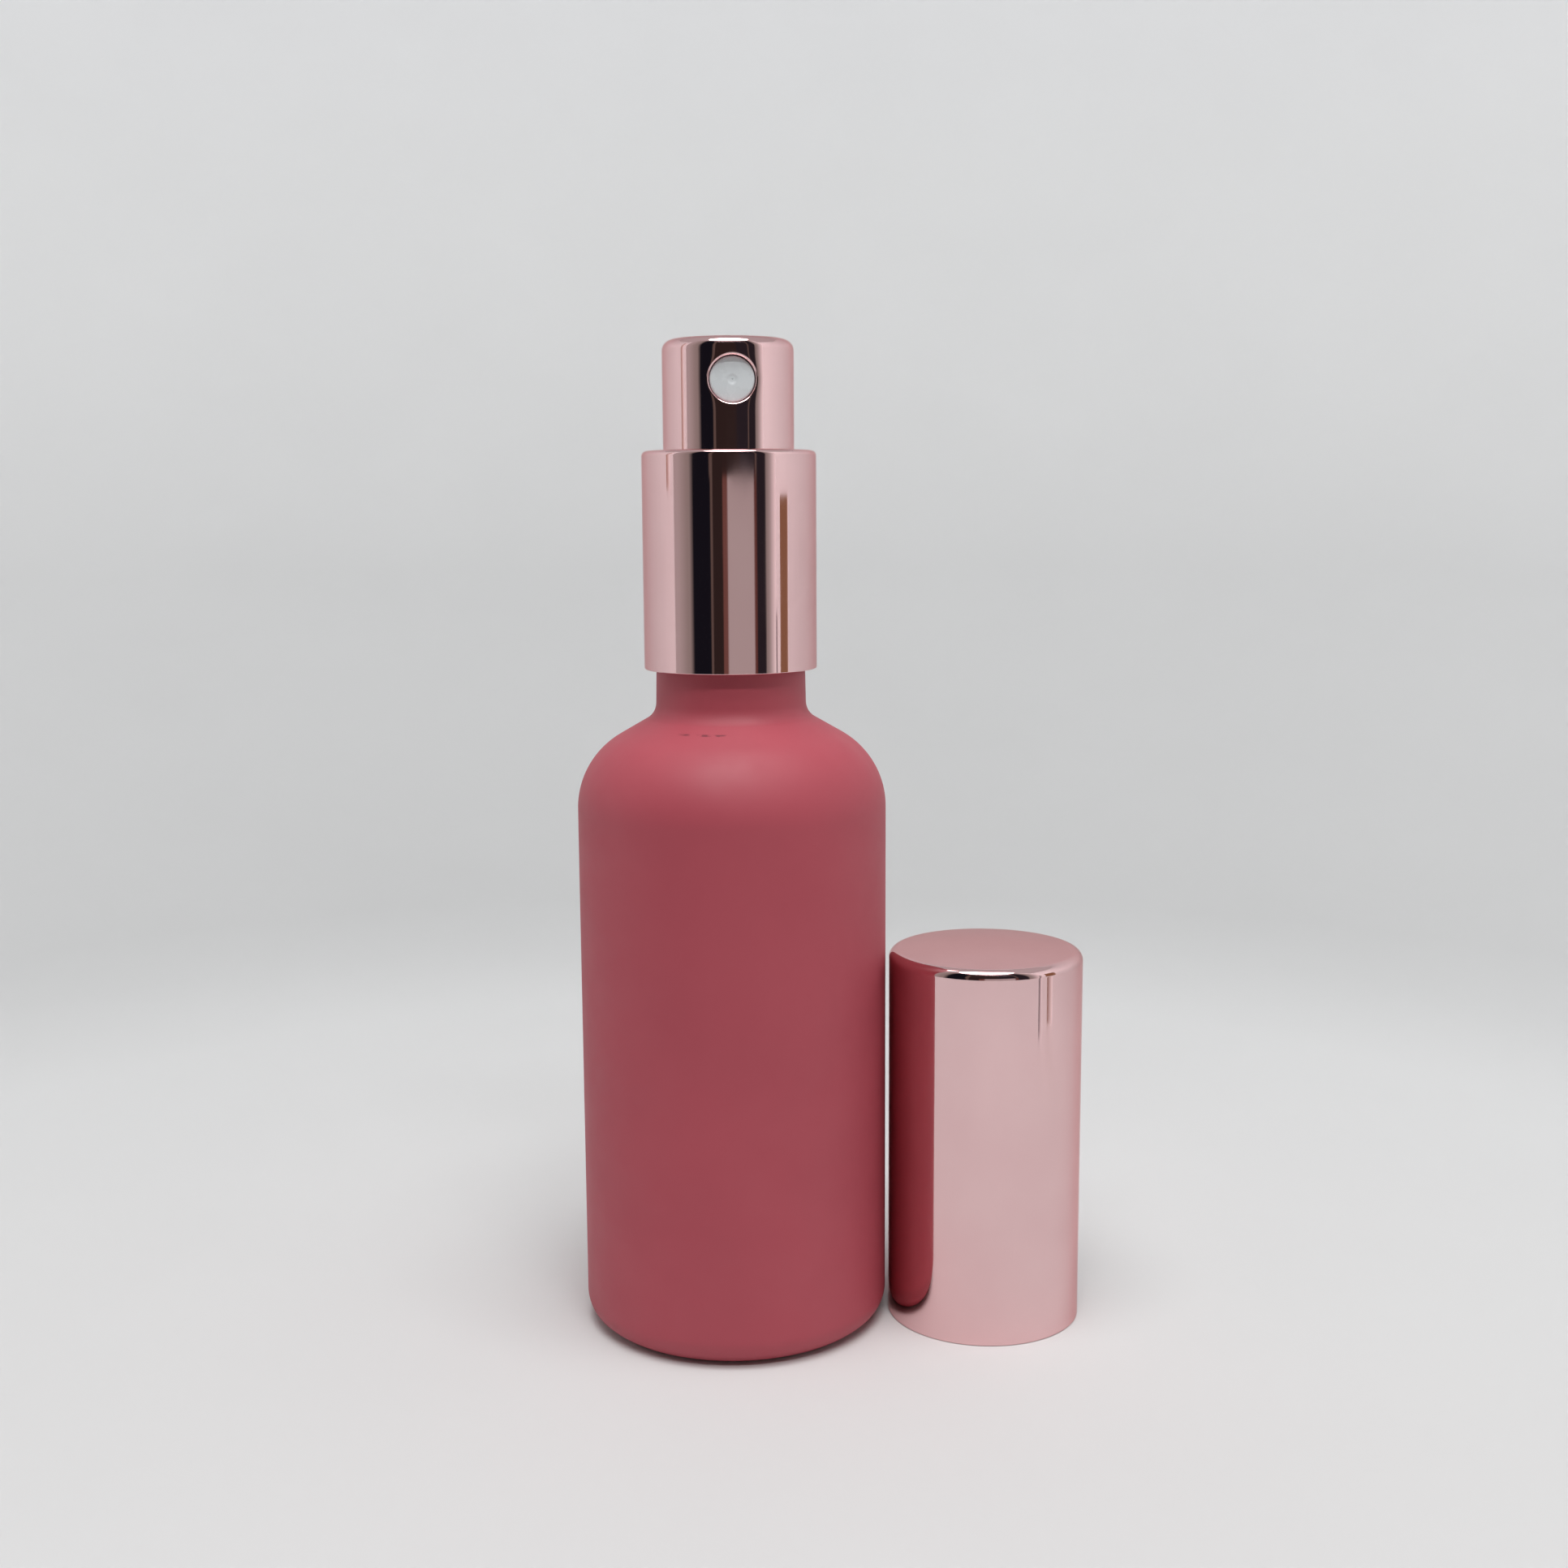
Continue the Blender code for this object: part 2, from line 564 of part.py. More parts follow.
def body(name, pieces, location=(0, 0, 0)):
    """Hang the pieces that move together from one empty on their joint's axis."""
    empty = bpy.data.objects.new(name, None)
    empty.location = Vector(location) * MM
    empty.empty_display_size = 5 * MM
    bpy.context.scene.collection.objects.link(empty)
    for piece in pieces:
        piece.parent = empty
        piece.matrix_parent_inverse = Matrix.Translation(empty.location).inverted()


def main():
    for obj in list(bpy.data.objects):
        bpy.data.objects.remove(obj)

    lacquer = material("pink_lacquer", (0.47, 0.10, 0.13), 0.55)
    rose_gold = material("rose_gold", (0.80, 0.55, 0.52), 0.12, metallic=1.0)
    white = material("white_plastic", (0.86, 0.88, 0.88), 0.4)
    natural = material("natural_plastic", (0.80, 0.81, 0.78), 0.45)
    clear = material("clear_plastic", (0.85, 0.88, 0.88), 0.3, alpha=0.6)
    rubber = material("seal_rubber", (0.25, 0.25, 0.26), 0.7)
    steel = material("spring_steel", (0.60, 0.60, 0.62), 0.3, metallic=1.0)

    make_bottle(lacquer)
    body("pump_body", (
        make_housing(natural),
        make_turret(natural),
        make_ring("neck_gasket", GASKET_BORE_R, GASKET_R, *GASKET_Z, MEDIUM, rubber),
        make_ring("stem_seal", SEAL_BORE_R, PLUG_R, *SEAL_Z, COARSE, rubber),
        make_tube(clear),
        coil("return_spring", *RETURN_SPRING, steel),
    ))
    body("closure", (make_closure(white), make_sleeve(rose_gold)))
    pre_spring = coil("precompression_spring", *PRECOMPRESSION_SPRING, steel)
    body("stem", (make_stem(natural), make_pin(natural), pre_spring))
    body("piston", (make_piston(white),))
    body("ball", (make_ball(steel),), (0, 0, BALL_Z))
    body("actuator", (make_actuator_shell(rose_gold), make_button(white), make_insert(white)))
    body("overcap", make_overcap(rose_gold, white), (*CAP_CENTRE, 0))


main()
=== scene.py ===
"""Looks of a perfume atomiser: lacquered glass, mirror-bright rose-gold metal and moulded plastic.

Every piece is turned, swept or moulded here at full smoothness inside the space of its CAD node. Outlines
are in millimetres, as (radius, height) or (radius, height, corner radius), and each mesh is scaled to metres
once. Heights and outer radii come from the frame, and the named sizes below are what the frame doesn't give.
"""

import math
from types import SimpleNamespace

import bmesh
import bpy
from mathutils import Matrix, Vector


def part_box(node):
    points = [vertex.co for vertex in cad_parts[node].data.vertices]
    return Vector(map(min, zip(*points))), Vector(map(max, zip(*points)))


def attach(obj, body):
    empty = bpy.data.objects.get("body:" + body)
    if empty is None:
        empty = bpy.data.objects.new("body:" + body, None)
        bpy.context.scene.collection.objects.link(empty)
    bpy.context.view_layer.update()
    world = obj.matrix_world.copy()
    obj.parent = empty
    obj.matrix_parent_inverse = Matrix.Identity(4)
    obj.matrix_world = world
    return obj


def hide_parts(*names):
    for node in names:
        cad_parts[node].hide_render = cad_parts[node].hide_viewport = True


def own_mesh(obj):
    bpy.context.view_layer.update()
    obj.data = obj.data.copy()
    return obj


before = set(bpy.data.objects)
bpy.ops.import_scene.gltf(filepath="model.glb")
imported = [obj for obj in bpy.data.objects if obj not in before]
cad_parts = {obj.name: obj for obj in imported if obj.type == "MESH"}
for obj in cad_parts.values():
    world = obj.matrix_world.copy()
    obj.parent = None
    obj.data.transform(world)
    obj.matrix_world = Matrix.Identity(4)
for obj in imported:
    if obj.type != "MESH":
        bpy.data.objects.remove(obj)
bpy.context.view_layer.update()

MM = 0.001

# Bottle
WALL = 2.2
HEEL_R = 3.4
HEEL_LINE = -38
HEEL_LINE_DEPTH = 0.04
RECESS_R = 11.5
RECESS_DEPTH = 0.4
SHOULDER_Z = 63.5
SHOULDER_ARC_R = 10.1
SHOULDER_TURN = 60.0
NECK_R = 8.95
NECK_TOP_R = 8.85
NECK_TOP_Z = 80.2
NECK_FILLET_R = 2.3
BORE_R = 5.6
FLOOR_Z = 4.8
INNER_HEEL_R = 4.5

# Thread
PITCH = 3.175
NECK_ROOT_R = 7.75
NECK_CREST_R = 8.72
NECK_THREAD_Z = 83.0
NECK_THREAD_TURNS = 2.0
CLOSURE_MAJOR_R = 9.0
CLOSURE_CREST_R = 8.15
CLOSURE_THREAD_TURNS = 1.5
THREAD_FOOT = 1.4
THREAD_EMBED = 0.35
THREAD_SINK = 0.12
THREAD_RUNOUT = 50
THREAD_STEPS = 96
THREAD_SECTION = ((0.0, 0.5), (0.45, 0.41), (0.82, 0.3), (0.97, 0.2), (1.0, 0.08))

# Metal covers
SLEEVE_WALL = 0.4
SLEEVE_EDGE_R = 0.6
SLEEVE_RIM_R = 8.25
SLEEVE_RIM_WALL = 0.3
SLEEVE_RIM_DEPTH = 1.0
CUT_EDGE_R = 0.12
ACTUATOR_WALL = 0.35
ACTUATOR_EDGE_R = 1.3
ACTUATOR_CROWN = 0.06
HOLE_R = 2.92
HOLE_LIP_R = 0.25
HOLE_DISH = 0.01
HOLE_DISH_REACH = 0.35
HOLE_TUBE = 1.25
HOLE_TUBE_WALL = 0.06
CAP_WALL = 0.4
CAP_EDGE_R = 1.2
CAP_CROWN = 0.45

# Plastic of the closure, button, insert and cap liner
DECK_Z = (96.7, 97.9)
DECK_HOLE_R = 5.0
CLOSURE_INNER_R = 8.9
BUTTON_WALL = 0.8
BOSS_R = 3.0
BOSS_BOTTOM_Z = 105.2
POCKET_TOP_Z = 109.8
STEM_SOCKET_R = 1.75
STEM_HEADROOM = 0.3
RISER_R = 0.6
DUCT_R = 0.5
CUT_OVERLAP = 0.2
SOCKET_R = 2.8
SOCKET_FLOOR = 4.2
INSERT_DEPTH = 2.45
INSERT_WALL = 0.7
INSERT_WEB = 0.9
ORIFICE_R = 0.05
LINER_BORE_R = 10.75
LINER_RIB_R = 10.45
LINER_RIBS = 8
LINER_RIB_SHARE = 0.035
LINER_ROOF = 0.8

# Pump engine
FLANGE_THICK = 1.0
HOUSING_R = 4.3
HOUSING_BORE_R = 3.15
HOUSING_FLOOR_Z = 73.3
HOUSING_WAIST_R = 3.5
HOUSING_WAIST_Z = (71.9, 78.0)
CAGE_MOUTH_R = 1.05
CAGE_R = 1.45
INLET_R = 0.7
TUBE_SOCKET_R = 1.5
TAIL_R = 2.2
TAIL_TOP_Z = 70.3
TURRET_Z = (95.4, 96.4)
TOWER_R = 4.4
TOWER_BORE_R = 1.8
PLUG_R = 2.9
GASKET_BORE_R = 4.7
SEAL_BORE_R = 1.7
SEAL_EDGE_R = 0.12
TUBE_BORE_R = 0.8
TUBE_SLANT = 0.7
STEM_R = 1.5
STEM_FOOT_R = 1.7
STEM_BORE_R = 0.7
STEM_COLLAR = (0.4, 1.6)
PIN_FOOT_R = 1.3
PIN_SHANK_R = 1.1
PIN_PLUG_R = 0.5
PIN_FLANGE = (1.2, 2.2)
PISTON_BORE_R = 1.3
PISTON_FLARE = 0.2
PISTON_WAIST = 0.45

# Facets round the axis, and steps in a corner
FINE = 160
MEDIUM = 96
SMALL = 48
CORNER_STEPS = 5
COIL_STEPS = 40
COIL_SIDES = 10

# Camera
CAMERA_AT = (-15.73, -228.74, 100.17)
CAMERA_YAW = -5.5
CAMERA_PITCH = 8.454
CAMERA_ROLL = -0.337
LENS = 44.17


# ---------------------------------------------------------------- outlines and meshes

def measure(node):
    """A node's size in millimetres: outer radius, lowest and highest point, and the centre it is round."""
    low, high = (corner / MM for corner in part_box(node))
    return SimpleNamespace(r=(high.x - low.x) / 2, low=low.z, high=high.z, near=low.y,
                           centre=((low.x + high.x) / 2, (low.y + high.y) / 2))


def arc(centre, radius, start, end, steps):
    """Points of an arc in the (radius, height) plane; angles in degrees from the +radius direction."""
    angles = [math.radians(start + (end - start) * i / steps) for i in range(steps + 1)]
    return [(centre[0] + radius * math.cos(a), centre[1] + radius * math.sin(a)) for a in angles]


def rounded(outline):
    """A closed outline with each corner that gives a radius replaced by an arc."""
    done = []
    for i, point in enumerate(outline):
        here = Vector(point[:2])
        radius = point[2] if len(point) > 2 else 0.0
        if radius <= 0:
            done.append(tuple(here))
            continue
        before = Vector(outline[i - 1][:2]) - here
        after = Vector(outline[(i + 1) % len(outline)][:2]) - here
        half = before.angle(after) / 2
        reach = min(radius / math.tan(half), 0.48 * before.length, 0.48 * after.length)
        radius = reach * math.tan(half)
        middle = here + (before.normalized() + after.normalized()).normalized() * radius / math.sin(half)
        start = here + before.normalized() * reach - middle
        end = here + after.normalized() * reach - middle
        turn = start.angle_signed(end)
        for k in range(CORNER_STEPS + 1):
            done.append(tuple(middle + Matrix.Rotation(-turn * k / CORNER_STEPS, 2) @ start))
    return done


def spun(outline, segments):
    """A closed outline, turned about Z."""
    bm = bmesh.new()
    ring = [bm.verts.new((r, 0, z)) for r, z in outline]
    edges = [bm.edges.new(pair) for pair in zip(ring, ring[1:])]
    if outline[0][0] > 0 or outline[-1][0] > 0:
        edges.append(bm.edges.new((ring[-1], ring[0])))
    bmesh.ops.spin(bm, geom=ring + edges, cent=(0, 0, 0), axis=(0, 0, 1), angle=math.tau,
                   steps=segments, use_merge=True)
    bmesh.ops.remove_doubles(bm, verts=bm.verts, dist=0.0005)
    return bm


def skin(sections):
    """A closed tube through a list of equal point loops, with filled ends."""
    bm = bmesh.new()
    loops = [[bm.verts.new(point) for point in section] for section in sections]
    count = len(loops[0])
    for low, high in zip(loops, loops[1:]):
        for i in range(count):
            j = (i + 1) % count
            bm.faces.new((low[i], low[j], high[j], high[i]))
    bm.faces.new(loops[0])
    bm.faces.new(loops[-1])
    return bm


def around(angle, radius, height):
    """A point at an angle round Z, in radians."""
    return (radius * math.cos(angle), radius * math.sin(angle), height)


def solid(name, bm, finish, sharp=35, centre=(0, 0), height=0.0):
    """Turn a millimetre bmesh into an object in metres, with its faces out and its rounds smooth."""
    bmesh.ops.recalc_face_normals(bm, faces=bm.faces)
    bmesh.ops.scale(bm, vec=(MM, MM, MM), verts=bm.verts)
    mesh = bpy.data.meshes.new(name)
    bm.to_mesh(mesh)
    bm.free()
    obj = bpy.data.objects.new(name, mesh)
    obj.location = Vector((centre[0], centre[1], height)) * MM
    bpy.context.scene.collection.objects.link(obj)
    mesh.materials.append(finish)
    return smooth(obj, sharp)


def smooth(obj, sharp=35):
    """Smooth shading that stays flat on long walls beside small rounds."""
    obj.data.shade_smooth()
    obj.data.set_sharp_from_angle(angle=math.radians(sharp))
    weighted = obj.modifiers.new("normals", "WEIGHTED_NORMAL")
    weighted.keep_sharp = True
    weighted.weight = 90
    return settle(obj)


def settle(obj):
    """Apply an object's modifiers."""
    graph = bpy.context.evaluated_depsgraph_get()
    mesh = bpy.data.meshes.new_from_object(obj.evaluated_get(graph))
    obj.modifiers.clear()
    obj.data = mesh
    return obj


def combine(obj, others, operation, sharp=35):
    """Join other solids to a piece, or cut them out of it, and apply that."""
    for other in others:
        step = obj.modifiers.new(other.name, "BOOLEAN")
        step.operation = operation
        step.solver = "EXACT"
        step.object = other
    settle(obj)
    for other in others:
        bpy.data.objects.remove(other)
    return smooth(obj, sharp)


def stand_for(obj, node, body):
    """Let a finished piece stand for a CAD node and ride on its body."""
    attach(obj, body)
    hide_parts(node)
    return obj


def turned(node, body, outline, segments, finish, centre=(0, 0)):
    """A turned piece that stands for a CAD node."""
    obj = solid(node + "_fine", spun(rounded(outline), segments), finish, centre=centre)
    return stand_for(obj, node, body)


def thread_ridge(name, wall_r, crest_r, start_z, turns, finish):
    """A helical ridge of rounded section on a wall, sinking into the wall at both ends."""
    runout = math.radians(THREAD_RUNOUT)
    inward = -1 if crest_r < wall_r else 1
    foot = wall_r - inward * THREAD_EMBED
    sunk = wall_r - inward * THREAD_SINK
    sections = []
    count = round(turns * THREAD_STEPS)
    profile = list(THREAD_SECTION) + [(rise, -half) for rise, half in reversed(THREAD_SECTION)]
    for i in range(count + 1):
        angle = math.tau * i / THREAD_STEPS
        rise = min(1.0, angle / runout, (turns * math.tau - angle) / runout)
        rise = rise * rise * (3 - 2 * rise)
        crest = sunk + (crest_r - sunk) * rise
        z = start_z + PITCH * i / THREAD_STEPS
        sections.append([around(angle, foot + (crest - foot) * up, z + THREAD_FOOT * half)
                         for up, half in profile])
    return solid(name, skin(sections), finish)


# ---------------------------------------------------------------- materials

def node(tree, kind, inputs=None, **settings):
    """Add a shader node. An input is a value, or a socket to link."""
    made = tree.nodes.new(kind)
    for key, value in settings.items():
        setattr(made, key, value)
    for key, value in (inputs or {}).items():
        if isinstance(value, bpy.types.NodeSocket):
            tree.links.new(value, made.inputs[key])
        else:
            made.inputs[key].default_value = value
    return made


def blank(name, colour, roughness, metallic=0.0, **inputs):
    """A Principled material, its tree, its shader and its object coordinates."""
    finish = bpy.data.materials.new(name)
    finish.use_nodes = True
    tree = finish.node_tree
    shader = tree.nodes["Principled BSDF"]
    shader.inputs["Base Color"].default_value = (*colour, 1.0)
    shader.inputs["Roughness"].default_value = roughness
    shader.inputs["Metallic"].default_value = metallic
    for key, value in inputs.items():
        shader.inputs[key.replace("_", " ")].default_value = value
    place = node(tree, "ShaderNodeTexCoord").outputs["Object"]
    return finish, tree, shader, place


def noise(tree, place, size_mm, stretch=(1, 1, 1), detail=2.0, roughness=0.5):
    """Noise whose features are about size_mm across, longer along an axis with a stretch over 1."""
    scale = tuple(1 / s for s in stretch)
    mapped = node(tree, "ShaderNodeMapping", {"Vector": place, "Scale": scale})
    return node(tree, "ShaderNodeTexNoise", {"Vector": mapped.outputs[0], "Scale": 1 / (size_mm * MM),
                "Detail": detail, "Roughness": roughness}).outputs["Fac"]


def spread(tree, value, low, high):
    """Map noise from its usual 0.3 to 0.7 onto a range."""
    return node(tree, "ShaderNodeMapRange", {"Value": value, "From Min": 0.3, "From Max": 0.7,
                "To Min": low, "To Max": high}).outputs[0]


def shade(tree, value, dark, light):
    """A colour between two, by noise."""
    mixed = node(tree, "ShaderNodeMix", {"Factor": value}, data_type="RGBA")
    mixed.inputs["A"].default_value = (*dark, 1.0)
    mixed.inputs["B"].default_value = (*light, 1.0)
    return mixed.outputs["Result"]


def specks(tree, place, spacing_mm, size_mm, share):
    """A mask that is 1 on small scattered dots: one cell in 1 / share has a dot."""
    cells = node(tree, "ShaderNodeTexVoronoi", {"Vector": place, "Scale": 1 / (spacing_mm * MM)})
    near = node(tree, "ShaderNodeMath", {0: cells.outputs["Distance"], 1: size_mm / spacing_mm / 2},
                operation="LESS_THAN")
    chosen = node(tree, "ShaderNodeMath", {0: cells.outputs["Color"], 1: share}, operation="LESS_THAN")
    return node(tree, "ShaderNodeMath", {0: near.outputs[0], 1: chosen.outputs[0]},
                operation="MULTIPLY").outputs[0]


def bump(tree, height, depth_um, under=None):
    """A bump of a given depth in micrometres."""
    inputs = {"Height": height, "Distance": depth_um * 1e-6, "Strength": 1.0}
    if under:
        inputs["Normal"] = under
    return node(tree, "ShaderNodeBump", inputs).outputs[0]


def scuff(tree, place, low, high):
    """A mask that is 1 along a thin broken scratch inside a box of object coordinates, in millimetres."""
    mask = spread(tree, noise(tree, place, 1.1, detail=1), -0.6, 1.6)
    parts = node(tree, "ShaderNodeSeparateXYZ", {0: place})
    for axis, start, end in zip("XYZ", low, high):
        middle, half = (start + end) / 2 * MM, (end - start) / 2 * MM
        away = node(tree, "ShaderNodeMath", {0: parts.outputs[axis], 1: middle}, operation="SUBTRACT")
        away = node(tree, "ShaderNodeMath", {0: away.outputs[0]}, operation="ABSOLUTE")
        inside = node(tree, "ShaderNodeMapRange", {"Value": away.outputs[0], "From Min": half,
                      "From Max": half * 0.6})
        mask = node(tree, "ShaderNodeMath", {0: mask, 1: inside.outputs[0]}, operation="MULTIPLY",
                    use_clamp=True).outputs[0]
    return mask


def make_lacquer():
    """Soft matt dusty-pink lacquer: fine spray grain, a few specks of dust and a scuff on the shoulder."""
    deep, light = (0.408, 0.054, 0.080), (0.436, 0.060, 0.087)
    finish, tree, shader, place = blank("pink_lacquer", deep, 0.6, Specular_IOR_Level=0.65)
    clouds = spread(tree, noise(tree, place, 14, detail=3), 0, 1)
    colour = shade(tree, clouds, deep, light)
    dust = node(tree, "ShaderNodeMix", {"Factor": specks(tree, place, 6.0, 0.28, 0.06), "A": colour},
                data_type="RGBA")
    dust.inputs["B"].default_value = (0.85, 0.72, 0.70, 1)
    grit = node(tree, "ShaderNodeMix", {"Factor": specks(tree, place, 7.3, 0.22, 0.05),
                "A": dust.outputs["Result"]}, data_type="RGBA")
    grit.inputs["B"].default_value = (0.22, 0.03, 0.04, 1)
    worn = node(tree, "ShaderNodeMix", {"Factor": scuff(tree, place, (-6.9, -18, 73.25), (-0.6, 0, 73.5)),
                "A": grit.outputs["Result"]}, data_type="RGBA")
    worn.inputs["B"].default_value = (0.20, 0.020, 0.035, 1)
    tree.links.new(worn.outputs["Result"], shader.inputs["Base Color"])
    tree.links.new(spread(tree, noise(tree, place, 5, detail=3), 0.56, 0.64), shader.inputs["Roughness"])
    peel = bump(tree, noise(tree, place, 0.7), 4)
    grain = bump(tree, noise(tree, place, 0.12), 2, peel)
    tree.links.new(grain, shader.inputs["Normal"])
    return finish


def make_rose_gold():
    """Mirror-bright anodised drawn aluminium: faint waves along the draw, smudges and tiny pits."""
    finish, tree, shader, place = blank("rose_gold", (0.80, 0.545, 0.55), 0.06, metallic=1.0,
                                        Specular_Tint=(0.84, 0.60, 0.60, 1))
    tone = spread(tree, noise(tree, place, 9, detail=2), 0, 1)
    colour = shade(tree, tone, (0.79, 0.530, 0.538), (0.81, 0.556, 0.562))
    tree.links.new(colour, shader.inputs["Base Color"])
    smudge = spread(tree, noise(tree, place, 4, stretch=(1, 1, 2.5), detail=4), 0.035, 0.085)
    tree.links.new(smudge, shader.inputs["Roughness"])
    waves = bump(tree, noise(tree, place, 2.4, stretch=(1, 1, 9), detail=1.5), 5)
    pits = bump(tree, specks(tree, place, 2.2, 0.12, 0.05), -4, waves)
    tree.links.new(pits, shader.inputs["Normal"])
    return finish


def make_plastic(name, dark, light, roughness, grain_um, **inputs):
    """Moulded plastic: slight flow marks in its colour and gloss, and a fine grain."""
    finish, tree, shader, place = blank(name, light, roughness, **inputs)
    flow = spread(tree, noise(tree, place, 3, stretch=(1, 1, 2), detail=3), 0, 1)
    tree.links.new(shade(tree, flow, dark, light), shader.inputs["Base Color"])
    gloss = spread(tree, noise(tree, place, 1.5, detail=2), roughness - 0.04, roughness + 0.04)
    tree.links.new(gloss, shader.inputs["Roughness"])
    tree.links.new(bump(tree, noise(tree, place, 0.25), grain_um), shader.inputs["Normal"])
    return finish


def make_steel():
    """Drawn stainless wire."""
    finish, tree, shader, place = blank("spring_steel", (0.58, 0.58, 0.60), 0.25, metallic=1.0)
    drawn = noise(tree, place, 0.3, detail=3)
    tree.links.new(shade(tree, drawn, (0.50, 0.50, 0.52), (0.64, 0.64, 0.66)), shader.inputs["Base Color"])
    tree.links.new(spread(tree, drawn, 0.18, 0.34), shader.inputs["Roughness"])
    tree.links.new(bump(tree, drawn, 2), shader.inputs["Normal"])
    return finish


# ---------------------------------------------------------------- pieces

def bottle_outline(glass):
    """The glass in section, from the recess under the base, up the outside and down the inside."""
    body_r = glass.r
    shoulder = arc((body_r - SHOULDER_ARC_R, SHOULDER_Z), SHOULDER_ARC_R, 0, SHOULDER_TURN, 28)
    slope = math.radians(SHOULDER_TURN + 90)
    down = Vector((math.cos(slope), math.sin(slope)))
    run = (shoulder[-1][0] - NECK_R) / -down.x
    corner = Vector(shoulder[-1]) + down * run
    tangent = NECK_FILLET_R * math.tan(math.radians(SHOULDER_TURN / 2))
    fillet = arc((NECK_R + NECK_FILLET_R, corner.y + tangent), NECK_FILLET_R, 180 + SHOULDER_TURN, 180, 12)
    inner_r = body_r - WALL
    inner = arc((body_r - SHOULDER_ARC_R, SHOULDER_Z), SHOULDER_ARC_R - WALL, SHOULDER_TURN, 0, 16)
    throat = Vector(inner[0]) + down * ((inner[0][0] - BORE_R) / -down.x)
    outline = [(0, RECESS_DEPTH), (RECESS_R, RECESS_DEPTH, 0.5), (RECESS_R + 0.8, 0, 0.5)]
    heel = (body_r - HEEL_R, HEEL_R)
    outline += arc(heel, HEEL_R - HEEL_LINE_DEPTH, -88, HEEL_LINE - 3, 10)
    outline += arc(heel, HEEL_R, HEEL_LINE, 0, 10)
    outline += shoulder
    outline += fillet
    outline += [(NECK_TOP_R, NECK_TOP_Z + 0.3, 0.4), (NECK_ROOT_R, NECK_TOP_Z + 0.6, 0.3)]
    outline += [(NECK_ROOT_R, glass.high, 0.5), (BORE_R, glass.high, 0.5)]
    outline += [(BORE_R, throat.y, 1.8)]
    outline += inner
    outline += arc((inner_r - INNER_HEEL_R, FLOOR_Z + INNER_HEEL_R), INNER_HEEL_R, 0, -90, 12)
    outline += [(0, FLOOR_Z)]
    return outline


def make_bottle(lacquer, bare_glass):
    """Glass bottle: lacquered outside, bare glass inside and on the bore."""
    glass = measure("glass_bottle")
    bottle = solid("glass_bottle_fine", spun(rounded(bottle_outline(glass)), FINE), lacquer)
    ridge = thread_ridge("neck_thread", NECK_ROOT_R, NECK_CREST_R, NECK_THREAD_Z, NECK_THREAD_TURNS,
                         lacquer)
    combine(bottle, [ridge], "UNION")
    bottle.data.materials.clear()
    bottle.data.materials.append(lacquer)
    bottle.data.materials.append(bare_glass)
    for face in bottle.data.polygons:
        spot = face.center / MM
        towards_axis = -face.normal.xy.dot(spot.xy.normalized())
        inside = towards_axis > 0.3 or (spot.z < FLOOR_Z + INNER_HEEL_R and face.normal.z > 0.5)
        face.material_index = 1 if inside and spot.z > FLOOR_Z - 0.5 else 0
    return stand_for(bottle, "glass_bottle", "bottle")


def make_sleeve(rose_gold):
    """Drawn sleeve: hemmed foot, rounded top edge and a rim curled in and down."""
    sleeve = measure("collar_sleeve")
    inner = sleeve.r - SLEEVE_WALL
    rim_foot = sleeve.high - SLEEVE_RIM_DEPTH
    rim_back = SLEEVE_RIM_R + SLEEVE_RIM_WALL
    ceiling = sleeve.high - SLEEVE_WALL
    outline = [(sleeve.r, sleeve.low, CUT_EDGE_R), (sleeve.r, sleeve.high, SLEEVE_EDGE_R),
               (SLEEVE_RIM_R, sleeve.high, 0.38), (SLEEVE_RIM_R, rim_foot, CUT_EDGE_R),
               (rim_back, rim_foot, CUT_EDGE_R), (rim_back, ceiling, 0.1), (inner, ceiling, 0.25),
               (inner, sleeve.low, CUT_EDGE_R)]
    return turned("collar_sleeve", "closure", outline, FINE, rose_gold)


def make_closure(plastic):
    """Screw closure with its internal thread, its deck and its upper wall."""
    closure = measure("screw_closure")
    deck_low, deck_high = DECK_Z
    outline = [(closure.r, closure.low, 0.15), (closure.r, closure.high, 0.15),
               (CLOSURE_INNER_R, closure.high, 0.15), (CLOSURE_INNER_R, deck_high, 0.4),
               (DECK_HOLE_R, deck_high, 0.2), (DECK_HOLE_R, deck_low, 0.2),
               (CLOSURE_MAJOR_R, deck_low, 0.4), (CLOSURE_MAJOR_R, closure.low, 0.3)]
    piece = solid("screw_closure_fine", spun(rounded(outline), MEDIUM), plastic)
    ridge = thread_ridge("closure_thread", CLOSURE_MAJOR_R, CLOSURE_CREST_R, NECK_THREAD_Z + PITCH / 2,
                         CLOSURE_THREAD_TURNS, plastic)
    combine(piece, [ridge], "UNION")
    return stand_for(piece, "screw_closure", "closure")


def dished(point, hole_z):
    """A point of the shell's side, drawn in towards the spray hole's edge."""
    reach = math.hypot(point.x, point.z - hole_z)
    if point.y > 0 or reach > HOLE_R + 2.2:
        return point
    depth = HOLE_DISH * math.exp(-max(reach - HOLE_R, 0) / HOLE_DISH_REACH)
    return Vector((point.x, point.y + depth, point.z))


